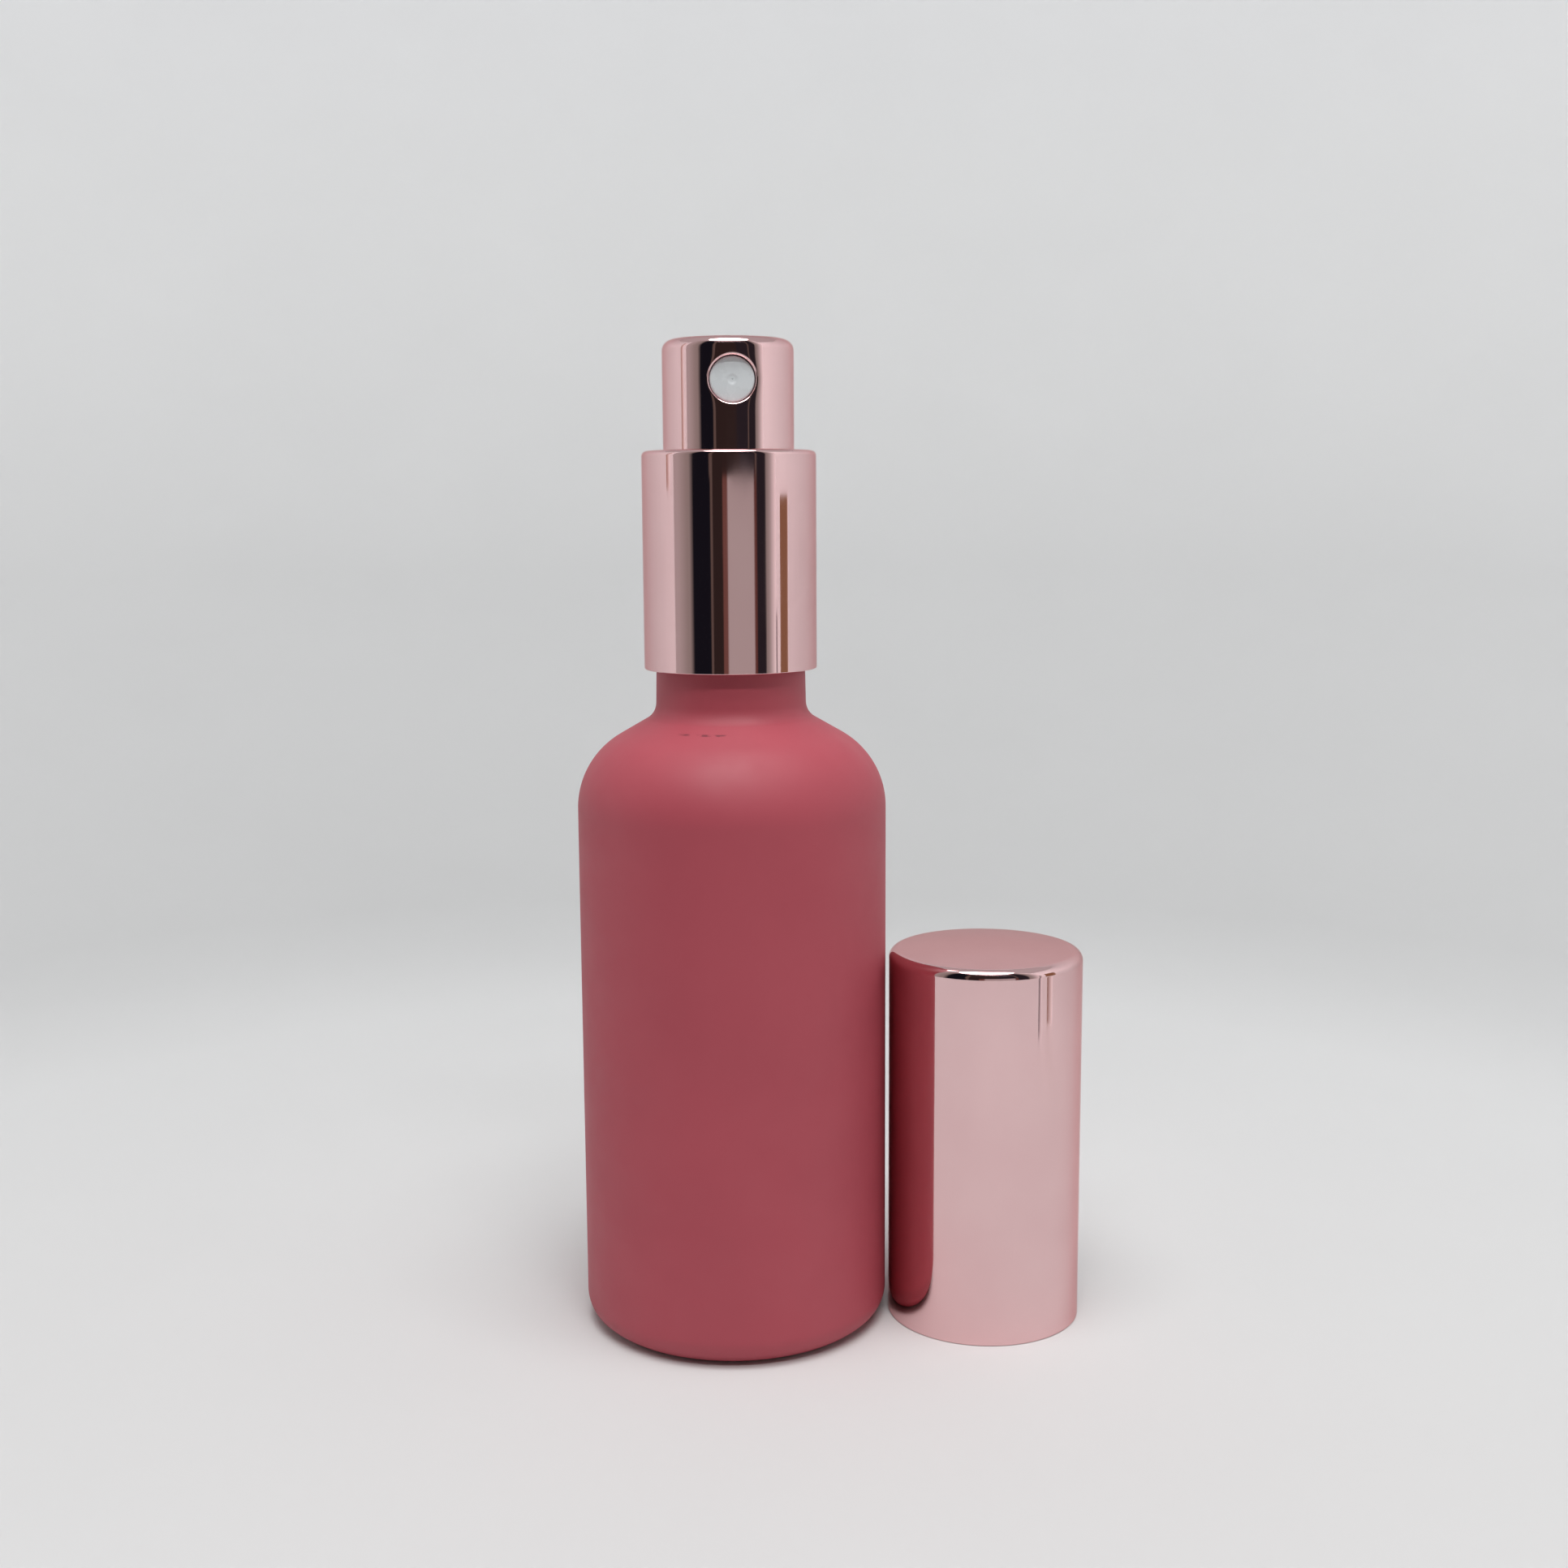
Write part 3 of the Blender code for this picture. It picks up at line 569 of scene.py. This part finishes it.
def shell_surface(radius, low_z, high_z, edge_r, crown_z, hole_z, hole_r, bm):
    """One skin of the actuator's cover, closed at the top, with a round hole on -Y.

    The side is a grid of columns and rows. A square block of it round the hole is replaced by rings that
    turn from the square to the circle. Returns the loops of vertices at the foot and round the hole.
    """
    columns = FINE
    block_columns, block_rows, rows_below = 28, 24, 10
    half = 3.5
    first = 3 * columns // 4 - block_columns // 2
    heights = [low_z + (hole_z - half - low_z) * i / rows_below for i in range(rows_below)]
    heights += [hole_z - half + 2 * half * i / block_rows for i in range(block_rows + 1)]
    profile = [(radius, z) for z in heights]
    profile += arc((radius - edge_r, high_z - edge_r), edge_r, 0, 90, 12)[1:]
    crown_r = radius - edge_r
    profile += [(crown_r * s, high_z + (crown_z - high_z) * (1 - s * s)) for s in (0.8, 0.6, 0.4, 0.2)]
    rings = []
    for r, z in profile:
        rings.append([bm.verts.new(around(math.tau * c / columns, r, z)) for c in range(columns)])
    top = bm.verts.new((0, 0, crown_z))
    low_row, high_row = rows_below, rows_below + block_rows
    for j in range(len(rings) - 1):
        for c in range(columns):
            if low_row <= j < high_row and first <= c < first + block_columns:
                continue
            n = (c + 1) % columns
            bm.faces.new((rings[j][c], rings[j][n], rings[j + 1][n], rings[j + 1][c]))
    for c in range(columns):
        bm.faces.new((rings[-1][c], rings[-1][(c + 1) % columns], top))
    last = first + block_columns
    border = [rings[low_row][c] for c in range(first, last)]
    border += [rings[j][last] for j in range(low_row, high_row)]
    border += [rings[high_row][c] for c in range(last, first, -1)]
    border += [rings[j][first] for j in range(high_row, low_row, -1)]
    flat = [Vector((v.co.x, v.co.z - hole_z)) for v in border]
    previous = border
    steps = 16
    for k in range(1, steps + 1):
        share = 1 - (1 - k / steps) ** 1.6
        loop = []
        for spot in flat:
            circle = spot.normalized() * hole_r
            at = spot.lerp(circle, share)
            loop.append(bm.verts.new((at.x, -math.sqrt(radius * radius - at.x * at.x), at.y + hole_z)))
        for i in range(len(loop)):
            n = (i + 1) % len(loop)
            bm.faces.new((previous[i], previous[n], loop[n], loop[i]))
        previous = loop
    for ring in rings:
        for vert in ring:
            if not vert.link_faces:
                bm.verts.remove(vert)
    for vert in bm.verts:
        if vert.co.z < high_z - edge_r:
            vert.co = dished(vert.co, hole_z)
    return rings[0], previous


def bridge(bm, one, other):
    """Faces between two equal loops."""
    for i in range(len(one)):
        n = (i + 1) % len(one)
        bm.faces.new((one[i], one[n], other[n], other[i]))


def make_actuator_shell(rose_gold):
    """Drawn cover of the button, whose spray hole has its edge rolled in."""
    shell = measure("actuator_shell")
    hole_z = measure("nozzle_insert").low + measure("nozzle_insert").r
    inner_r = shell.r - ACTUATOR_WALL
    bm = bmesh.new()
    foot, mouth = shell_surface(shell.r, shell.low, shell.high - ACTUATOR_CROWN, ACTUATOR_EDGE_R, shell.high,
                                hole_z, HOLE_R, bm)
    inner_high = shell.high - ACTUATOR_WALL
    inner_edge_r = ACTUATOR_EDGE_R - ACTUATOR_WALL
    inner_foot, inner_mouth = shell_surface(inner_r, shell.low, inner_high, inner_edge_r, inner_high,
                                            hole_z, HOLE_R, bm)
    bridge(bm, foot, inner_foot)
    previous = mouth
    for degrees in range(15, 91, 15):
        turn = math.radians(degrees)
        sink = HOLE_LIP_R * (1 - math.cos(turn))
        loop = []
        for vert in mouth:
            out = Vector((vert.co.x, vert.co.z - hole_z)).normalized()
            at = out * (HOLE_R - HOLE_LIP_R * math.sin(turn))
            loop.append(bm.verts.new((at.x, vert.co.y + sink, at.y + hole_z)))
        bridge(bm, previous, loop)
        previous = loop
    tube = [bm.verts.new((v.co.x, HOLE_TUBE - shell.r, v.co.z)) for v in previous]
    bridge(bm, previous, tube)
    back = []
    for vert in tube:
        out = Vector((vert.co.x, vert.co.z - hole_z)).normalized() * (HOLE_R - HOLE_TUBE_WALL)
        back.append(bm.verts.new((out.x, vert.co.y, out.y + hole_z)))
    bridge(bm, tube, back)
    bridge(bm, back, inner_mouth)
    obj = solid("actuator_shell_fine", bm, rose_gold, sharp=50)
    return stand_for(obj, "actuator_shell", "actuator")


def rod(name, radius, start, end, finish, segments=SMALL):
    """A round bar between two points, in millimetres."""
    start, end = Vector(start), Vector(end)
    axis = end - start
    bm = bmesh.new()
    turn = axis.to_track_quat("Z", "Y").to_matrix().to_4x4()
    bmesh.ops.create_cone(bm, cap_ends=True, segments=segments, radius1=radius, radius2=radius,
                          depth=axis.length, matrix=Matrix.Translation((start + end) / 2) @ turn)
    return solid(name, bm, finish)


def make_button(plastic):
    """Moulded button under the cover: stem boss, spray duct and the insert's socket."""
    button = measure("actuator_button")
    spray_z = measure("nozzle_insert").low + measure("nozzle_insert").r
    stem_top = measure("pump_stem").high + STEM_HEADROOM
    skirt_r = button.r - BUTTON_WALL
    outline = [(0, BOSS_BOTTOM_Z), (BOSS_R, BOSS_BOTTOM_Z, 0.2), (BOSS_R, POCKET_TOP_Z, 0.3),
               (skirt_r, POCKET_TOP_Z, 0.3), (skirt_r, button.low, 0.15), (button.r, button.low, 0.15),
               (button.r, button.high, 0.9), (0, button.high)]
    obj = solid("actuator_button_fine", spun(rounded(outline), MEDIUM), plastic)
    duct_end = -SOCKET_FLOOR - CUT_OVERLAP
    cuts = [
        rod("stem_socket", STEM_SOCKET_R, (0, 0, BOSS_BOTTOM_Z - 1), (0, 0, stem_top), plastic),
        rod("riser", RISER_R, (0, 0, stem_top - CUT_OVERLAP), (0, 0, spray_z), plastic),
        rod("duct", DUCT_R, (0, 0.3, spray_z), (0, duct_end, spray_z), plastic),
        rod("insert_socket", SOCKET_R, (0, -SOCKET_FLOOR, spray_z), (0, -9, spray_z), plastic),
    ]
    combine(obj, cuts, "DIFFERENCE")
    return stand_for(obj, "actuator_button", "actuator")


def make_insert(plastic):
    """Nozzle insert: a cup with a softly dished face round its orifice, facing -Y."""
    insert = measure("nozzle_insert")
    face = -insert.near
    back = face - INSERT_DEPTH
    outline = [(ORIFICE_R, face - 0.25), (ORIFICE_R, face - 0.12, 0.02), (0.35, face - 0.11, 0.2),
               (0.62, face - 0.01, 0.1), (0.8, face, 0.15), (insert.r, face, 0.25), (insert.r, back, 0.1),
               (insert.r - INSERT_WALL, back, 0.1), (insert.r - INSERT_WEB, face - INSERT_WEB, 0.2),
               (ORIFICE_R, face - INSERT_WALL)]
    bm = spun(rounded(outline), MEDIUM)
    bmesh.ops.rotate(bm, verts=bm.verts, cent=(0, 0, 0), matrix=Matrix.Rotation(math.radians(90), 3, "X"))
    obj = solid("nozzle_insert_fine", bm, plastic, height=insert.low + insert.r)
    return stand_for(obj, "nozzle_insert", "actuator")


def make_overcap(rose_gold, plastic):
    """Drawn overcap with a shallow crown, and its liner with ribs that grip the sleeve."""
    cap = measure("overcap_shell")
    crown_z = cap.high - CAP_CROWN
    inner_r = cap.r - CAP_WALL

    def crown(radius, edge_r, drop):
        points = arc((radius - edge_r, crown_z - CAP_EDGE_R), edge_r, 0, 90, 14)
        flat_r, flat_z = points[-1]
        rise = cap.high - drop - flat_z
        return points + [(flat_r * s, flat_z + rise * (1 - s * s)) for s in (0.8, 0.6, 0.4, 0.2, 0)]

    outline = [(cap.r, cap.low, CUT_EDGE_R)] + crown(cap.r, CAP_EDGE_R, 0)
    outline += crown(inner_r, CAP_EDGE_R - CAP_WALL, CAP_WALL)[::-1] + [(inner_r, cap.low, CUT_EDGE_R)]
    turned("overcap_shell", "overcap", outline, FINE, rose_gold, cap.centre)

    liner = measure("overcap_liner")
    roof = liner.high - LINER_ROOF
    outline = [(liner.r, liner.low, 0.2), (liner.r, liner.high, 1.2), (0, liner.high), (0, roof),
               (LINER_BORE_R, roof, 0.8), (LINER_BORE_R, liner.low, 0.25)]
    bm = spun(rounded(outline), FINE)
    for vert in bm.verts:
        radius = math.hypot(vert.co.x, vert.co.y)
        if abs(radius - LINER_BORE_R) < 0.01:
            phase = math.atan2(vert.co.y, vert.co.x) / math.tau * LINER_RIBS % 1
            swell = math.exp(-(min(phase, 1 - phase) / LINER_RIB_SHARE) ** 2)
            vert.co.xy *= 1 - (LINER_BORE_R - LINER_RIB_R) / LINER_BORE_R * swell
    obj = solid("overcap_liner_fine", bm, plastic, centre=liner.centre)
    stand_for(obj, "overcap_liner", "overcap")


def make_housing(plastic):
    """Pump housing: flange, cylinder, cage and seat of the ball, and the dip tube's socket."""
    housing = measure("pump_housing")
    ball = measure("inlet_ball")
    ball_z = ball.low + ball.r
    under_flange = housing.high - FLANGE_THICK
    waist_low, waist_high = HOUSING_WAIST_Z
    outline = [(housing.r, under_flange, 0.15), (housing.r, housing.high, 0.15)]
    outline += [(HOUSING_BORE_R, housing.high, 0.2), (HOUSING_BORE_R, HOUSING_FLOOR_Z, 0.3)]
    outline += [(CAGE_MOUTH_R, HOUSING_FLOOR_Z, 0.1), (CAGE_R, HOUSING_FLOOR_Z - 0.5, 0.1)]
    outline += [(CAGE_R, ball_z - 0.2, 0.1), (INLET_R, ball_z - 1.1), (INLET_R, ball_z - 1.6)]
    outline += [(TUBE_SOCKET_R, ball_z - 1.8), (TUBE_SOCKET_R, housing.low, 0.1)]
    outline += [(TAIL_R, housing.low, 0.15), (TAIL_R, TAIL_TOP_Z, 0.3), (HOUSING_WAIST_R, waist_low, 0.5)]
    outline += [(HOUSING_WAIST_R, waist_high, 0.5), (HOUSING_R, waist_high + 1, 0.5)]
    outline += [(HOUSING_R, under_flange, 0.3)]
    turned("pump_housing", "pump_body", outline, MEDIUM, plastic)


def make_housing_cap(plastic):
    """Cap of the housing: plate, plug in the cylinder and the tower that guides the stem."""
    cap = measure("housing_cap")
    plate_low, plate_high = TURRET_Z
    outline = [(cap.r, plate_low, 0.15), (cap.r, plate_high, 0.15), (TOWER_R, plate_high, 0.4)]
    outline += [(TOWER_R, cap.high, 0.5), (TOWER_BORE_R, cap.high, 0.2), (TOWER_BORE_R, cap.low, 0.15)]
    outline += [(PLUG_R, cap.low, 0.15), (PLUG_R, plate_low, 0.1)]
    turned("housing_cap", "pump_body", outline, MEDIUM, plastic)


def make_seals(rubber):
    """The gasket on the bottle's lip and the seal round the stem."""
    for name, bore_r in (("neck_gasket", GASKET_BORE_R), ("stem_seal", SEAL_BORE_R)):
        ring = measure(name)
        corners = ((bore_r, ring.low), (ring.r, ring.low), (ring.r, ring.high), (bore_r, ring.high))
        outline = [(r, z, SEAL_EDGE_R) for r, z in corners]
        turned(name, "pump_body", outline, MEDIUM, rubber)


def make_tube(plastic):
    """Dip tube, cut at a slant at its foot."""
    tube = measure("dip_tube")
    outline = [(TUBE_BORE_R, tube.low), (tube.r, tube.low), (tube.r, tube.high, 0.05)]
    outline += [(TUBE_BORE_R, tube.high, 0.05)]
    bm = spun(rounded(outline), SMALL)
    for vert in bm.verts:
        if vert.co.z < tube.low + 1:
            vert.co.z += TUBE_SLANT * (1 + vert.co.x / tube.r)
    stand_for(solid("dip_tube_fine", bm, plastic), "dip_tube", "pump_body")


def make_stem(plastic):
    """Hollow stem with its collar."""
    stem = measure("pump_stem")
    collar_low, collar_high = (stem.low + rise for rise in STEM_COLLAR)
    outline = [(STEM_BORE_R, stem.low, 0.1), (STEM_FOOT_R, stem.low, 0.1), (STEM_FOOT_R, collar_low, 0.1)]
    outline += [(stem.r, collar_low, 0.15), (stem.r, collar_high, 0.15), (STEM_R, collar_high, 0.15)]
    outline += [(STEM_R, stem.high, 0.25), (STEM_BORE_R, stem.high, 0.1)]
    turned("pump_stem", "stem", outline, SMALL, plastic)


def make_pin(plastic):
    """Valve pin: nose, flange under the piston, shank and the plug in the stem."""
    pin = measure("valve_pin")
    shank_top = measure("pump_stem").low - 0.2
    flange_low, flange_high = (pin.low + rise for rise in PIN_FLANGE)
    outline = [(0, pin.low), (PIN_FOOT_R, pin.low, 0.6), (PIN_FOOT_R, flange_low, 0.1)]
    outline += [(pin.r, flange_low, 0.15), (pin.r, flange_high, 0.15), (PIN_SHANK_R, flange_high + 0.1, 0.2)]
    outline += [(PIN_SHANK_R, shank_top, 0.1), (PIN_PLUG_R, shank_top, 0.1), (PIN_PLUG_R, pin.high, 0.15)]
    outline += [(0, pin.high)]
    turned("valve_pin", "stem", outline, SMALL, plastic)


def make_piston(plastic):
    """Piston with two sealing lips."""
    piston = measure("pump_piston")
    low, high, waist = piston.low + PISTON_FLARE, piston.high - 0.3, piston.r - PISTON_WAIST
    outline = [(PISTON_BORE_R, low, 0.1), (waist - PISTON_FLARE, low, 0.1), (piston.r, piston.low, 0.05)]
    outline += [(piston.r, low + PISTON_FLARE, 0.1), (waist, low + 0.8, 0.3), (waist, high - 0.6, 0.3)]
    outline += [(piston.r, high, 0.1), (piston.r, piston.high, 0.05), (waist, high, 0.1)]
    outline += [(PISTON_BORE_R, high, 0.1)]
    turned("pump_piston", "piston", outline, SMALL, plastic)


def make_ball(steel):
    """Inlet valve ball."""
    ball = measure("inlet_ball")
    bm = bmesh.new()
    bmesh.ops.create_icosphere(bm, subdivisions=4, radius=ball.r)
    obj = solid("inlet_ball_fine", bm, steel, height=ball.low + ball.r)
    stand_for(obj, "inlet_ball", "ball")


def make_spring(node_name, body, turns, wire_r, steel):
    """A compression spring with dead end turns, on a mesh of its own."""
    spring = measure(node_name)
    mean_r = spring.r - wire_r
    dead = 2 * wire_r
    travel = spring.high - spring.low - 2 * wire_r - 2 * dead
    sections = []
    for i in range(turns * COIL_STEPS + 1):
        turn = i / COIL_STEPS
        live = min(max(turn - 1, 0), turns - 2) / (turns - 2)
        z = spring.low + wire_r + dead * (min(turn, 1) + max(turn - (turns - 1), 0)) + travel * live
        ring = []
        for k in range(COIL_SIDES):
            a = math.tau * k / COIL_SIDES
            ring.append(around(math.tau * turn, mean_r + wire_r * math.cos(a), z + wire_r * math.sin(a)))
        sections.append(ring)
    obj = stand_for(solid(node_name + "_fine", skin(sections), steel), node_name, body)
    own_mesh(obj)


# ---------------------------------------------------------------- studio

def make_paper_with_painted_light():
    """Pale paper with painted light: a band of painted shade where it starts to curve up, and painted light
    that makes it whiter towards its top.
    """
    finish, tree, shader, place = blank("pale_paper_painted_light", (0.8, 0.8, 0.8), 0.9, Specular_IOR_Level=0.2)
    flat = node(tree, "ShaderNodeVectorMath", {0: place, 1: (1, 1, 0)}, operation="MULTIPLY")
    reach = node(tree, "ShaderNodeVectorMath", {0: flat.outputs[0]}, operation="LENGTH").outputs["Value"]
    step = node(tree, "ShaderNodeMapRange", {"Value": reach, "From Min": 0.0, "From Max": 0.61})
    tone = node(tree, "ShaderNodeValToRGB", {"Fac": step.outputs[0]})
    stops = tone.color_ramp.elements
    # Painted light in the paper's colour: the stops paint a shade band where the floor starts to curve up
    # and paint the wall whiter towards its top, where the lamps light it more.
    stops[0].color = (0.70, 0.70, 0.70, 1)
    stops[1].color = (0.93, 0.935, 0.945, 1)
    for position, level in ((0.25, 0.71), (0.34, 0.66), (0.41, 0.64), (0.75, 0.72), (0.95, 0.88)):
        stops.new(position).color = (level, level * 1.006, level * 1.008, 1)
    mottle = spread(tree, noise(tree, place, 60, detail=2), 0.985, 1.0)
    paper = node(tree, "ShaderNodeVectorMath", {0: tone.outputs[0], "Scale": mottle}, operation="SCALE")
    tree.links.new(paper.outputs[0], shader.inputs["Base Color"])
    return finish


def make_cyclorama():
    """A round pale sweep: a flat floor that curves up into a wall on every side."""
    floor_r, curve_r, wall_high = 230, 380, 650
    outline = [(0, 0), (floor_r, 0)] + arc((floor_r, curve_r), curve_r, -90, 0, 24) + \
              [(floor_r + curve_r, wall_high)]
    bm = bmesh.new()
    line = [bm.verts.new((r, 0, z - 0.02)) for r, z in outline]
    edges = [bm.edges.new(pair) for pair in zip(line, line[1:])]
    bmesh.ops.spin(bm, geom=line + edges, cent=(0, 0, 0), axis=(0, 0, 1), angle=math.tau, steps=128,
                   use_merge=True)
    bmesh.ops.remove_doubles(bm, verts=bm.verts, dist=0.001)
    sweep = solid("cyclorama", bm, make_paper_with_painted_light(), sharp=60)


def make_card(name, bearings, low, high, bands, distance=300):
    """An upright curved card, painted with light in bands, that the camera doesn't see.

    Bearings are in degrees round the bottle, 0 towards the camera and positive to its right. A band is
    (from, to, colour), and neighbouring bands fade into each other in the gap between them.
    """
    first, last = bearings
    steps = max(2, round((last - first) / 4))
    bm = bmesh.new()
    columns = []
    for i in range(steps + 1):
        angle = math.radians(first + (last - first) * i / steps)
        columns.append([bm.verts.new(around(angle, distance, z)) for z in (low, high)])
    for a, b in zip(columns, columns[1:]):
        bm.faces.new((a[0], b[0], b[1], a[1]))
    finish = bpy.data.materials.new(name)
    finish.use_nodes = True
    tree = finish.node_tree
    tree.nodes.clear()
    place = node(tree, "ShaderNodeTexCoord").outputs["Object"]
    parts = node(tree, "ShaderNodeSeparateXYZ", {0: place})
    angle = node(tree, "ShaderNodeMath", {0: parts.outputs["Y"], 1: parts.outputs["X"]}, operation="ARCTAN2")
    step = node(tree, "ShaderNodeMapRange", {"Value": angle.outputs[0], "From Min": math.radians(first),
                "From Max": math.radians(last)})
    ramp = node(tree, "ShaderNodeValToRGB", {"Fac": step.outputs[0]})
    stops = ramp.color_ramp.elements
    edges = [(edge, colour) for start, end, colour in bands for edge in (start, end)]
    for i, (edge, colour) in enumerate(edges):
        stop = stops[0] if i == 0 else stops.new((edge - first) / (last - first))
        stop.position = (edge - first) / (last - first)
        stop.color = (*colour, 1)
    stops.remove(stops[len(stops) - 1])
    glow = node(tree, "ShaderNodeEmission", {"Color": ramp.outputs[0]})
    out = node(tree, "ShaderNodeOutputMaterial")
    tree.links.new(glow.outputs[0], out.inputs["Surface"])
    card = solid(name, bm, finish)
    card.rotation_euler.z = math.atan2(CAMERA_AT[1], CAMERA_AT[0])
    card.visible_camera = False
    card.visible_transmission = False
    card.visible_shadow = False


def make_cards():
    """The dim room in front of the object, as the metal mirrors it."""
    black, brown = (0.008, 0.009, 0.014), (0.030, 0.022, 0.020)
    tan, copper, rust = (0.12, 0.10, 0.085), (0.17, 0.085, 0.07), (0.13, 0.055, 0.045)
    night, grey, pale = (0.022, 0.020, 0.025), (0.30, 0.29, 0.27), (0.45, 0.44, 0.43)
    make_card("room_low", (-76, 62), 2, 106.5, (
        (-76, -70, pale), (-56, -53, grey), (-47.2, -24.5, black), (-24, -21.6, tan), (-21, -9, brown),
        (-8, -3, copper), (-1.5, 31.5, pale), (32.3, 34.5, rust), (36, 46.5, night), (48.5, 50, grey),
        (54, 62, pale)))
    make_card("room_high", (-76, 62), 106.5, 540, (
        (-76, -70, pale), (-56, -53, grey), (-47.2, -26, black), (-25.2, -21.6, tan), (-21, 13, brown),
        (15, 33, night), (34, 35, tan), (36, 46.5, night), (48.5, 50, grey), (54, 62, pale)))
    make_card("brown_box", (67.5, 80.5), 30, 101, (
        (67.5, 78, (0.26, 0.15, 0.085)), (79, 80.5, (0.34, 0.22, 0.14))), distance=190)
    make_card("brown_foot", (70.3, 76.9), 0, 20, ((70.3, 76.9, (0.26, 0.15, 0.10)),), distance=180)
    make_card("dark_post", (60.8, 64.2), 0, 78, ((60.8, 64.2, (0.03, 0.02, 0.03)),), distance=170)
    make_card("copper_post", (-88, -81.5), 103, 300, ((-88, -81.5, (0.34, 0.17, 0.09)),))


def area_light(name, at, aim, size, power):
    """A soft light of a given width and depth, aimed at a point."""
    data = bpy.data.lights.new(name, "AREA")
    data.shape = "ELLIPSE"
    data.size, data.size_y = size
    data.energy = power
    lamp = bpy.data.objects.new(name, data)
    lamp.location = at
    lamp.rotation_euler = (Vector(aim) - Vector(at)).to_track_quat("-Z", "Y").to_euler()
    bpy.context.scene.collection.objects.link(lamp)


def make_ceiling():
    """A pale ceiling that only shows in the metal."""
    bm = bmesh.new()
    bmesh.ops.create_circle(bm, cap_ends=True, segments=64, radius=900)
    bmesh.ops.translate(bm, verts=bm.verts, vec=(0, 0, 900))
    finish = bpy.data.materials.new("ceiling")
    finish.use_nodes = True
    tree = finish.node_tree
    tree.nodes.clear()
    glow = node(tree, "ShaderNodeEmission", {"Color": (0.5, 0.5, 0.5, 1)})
    out = node(tree, "ShaderNodeOutputMaterial")
    tree.links.new(glow.outputs[0], out.inputs["Surface"])
    ceiling = solid("ceiling", bm, finish)
    ceiling.visible_camera = False
    ceiling.visible_diffuse = False
    ceiling.visible_transmission = False
    ceiling.visible_shadow = False


def make_studio():
    world = bpy.data.worlds.new("studio")
    world.use_nodes = True
    sky = world.node_tree.nodes["Background"]
    sky.inputs["Color"].default_value = (0.93, 0.96, 1.0, 1)
    sky.inputs["Strength"].default_value = 0.05
    bpy.context.scene.world = world
    make_cyclorama()
    make_cards()
    make_ceiling()
    area_light("overhead", (0.0, -0.18, 0.75), (0, -0.16, 0), (0.54, 0.4), 3.65)
    area_light("front_strip", (0.0, -0.5, 0.72), (0, 0, 0.07), (0.54, 0.07), 2.05)

    data = bpy.data.cameras.new("camera")
    data.sensor_width = 36
    data.lens = LENS
    data.clip_start = 0.01
    data.clip_end = 10
    camera = bpy.data.objects.new("camera", data)
    turn = Matrix.Rotation(math.radians(CAMERA_YAW), 4, "Z") @ \
        Matrix.Rotation(math.radians(90 - CAMERA_PITCH), 4, "X") @ \
        Matrix.Rotation(math.radians(CAMERA_ROLL), 4, "Z")
    camera.matrix_world = Matrix.Translation(Vector(CAMERA_AT) * MM) @ turn
    bpy.context.scene.collection.objects.link(camera)
    bpy.context.scene.camera = camera
    bpy.context.scene.view_settings.view_transform = "Standard"


lacquer = make_lacquer()
bare_glass = make_plastic("bare_glass", (0.42, 0.07, 0.09), (0.46, 0.08, 0.10), 0.08, 1, Coat_Weight=1.0)
rose_gold = make_rose_gold()
white = make_plastic("white_plastic", (0.78, 0.79, 0.79), (0.83, 0.84, 0.84), 0.38, 3)
milky = make_plastic("insert_plastic", (0.74, 0.78, 0.80), (0.77, 0.81, 0.83), 0.28, 2)
natural = make_plastic("natural_plastic", (0.74, 0.76, 0.73), (0.82, 0.83, 0.80), 0.42, 3,
                       Subsurface_Weight=0.3, Subsurface_Scale=0.001)
clear = make_plastic("clear_plastic", (0.80, 0.84, 0.84), (0.88, 0.91, 0.91), 0.2, 1,
                     Transmission_Weight=0.7)
rubber = make_plastic("seal_rubber", (0.045, 0.045, 0.048), (0.065, 0.065, 0.068), 0.62, 6)
steel = make_steel()

make_bottle(lacquer, bare_glass)
make_sleeve(rose_gold)
make_closure(white)
make_actuator_shell(rose_gold)
make_button(white)
make_insert(milky)
make_overcap(rose_gold, white)
make_housing(natural)
make_housing_cap(natural)
make_seals(rubber)
make_tube(clear)
make_stem(natural)
make_pin(natural)
make_piston(white)
make_ball(steel)
make_spring("return_spring", "pump_body", 8, 0.25, steel)
make_spring("precompression_spring", "stem", 5, 0.2, steel)
make_studio()
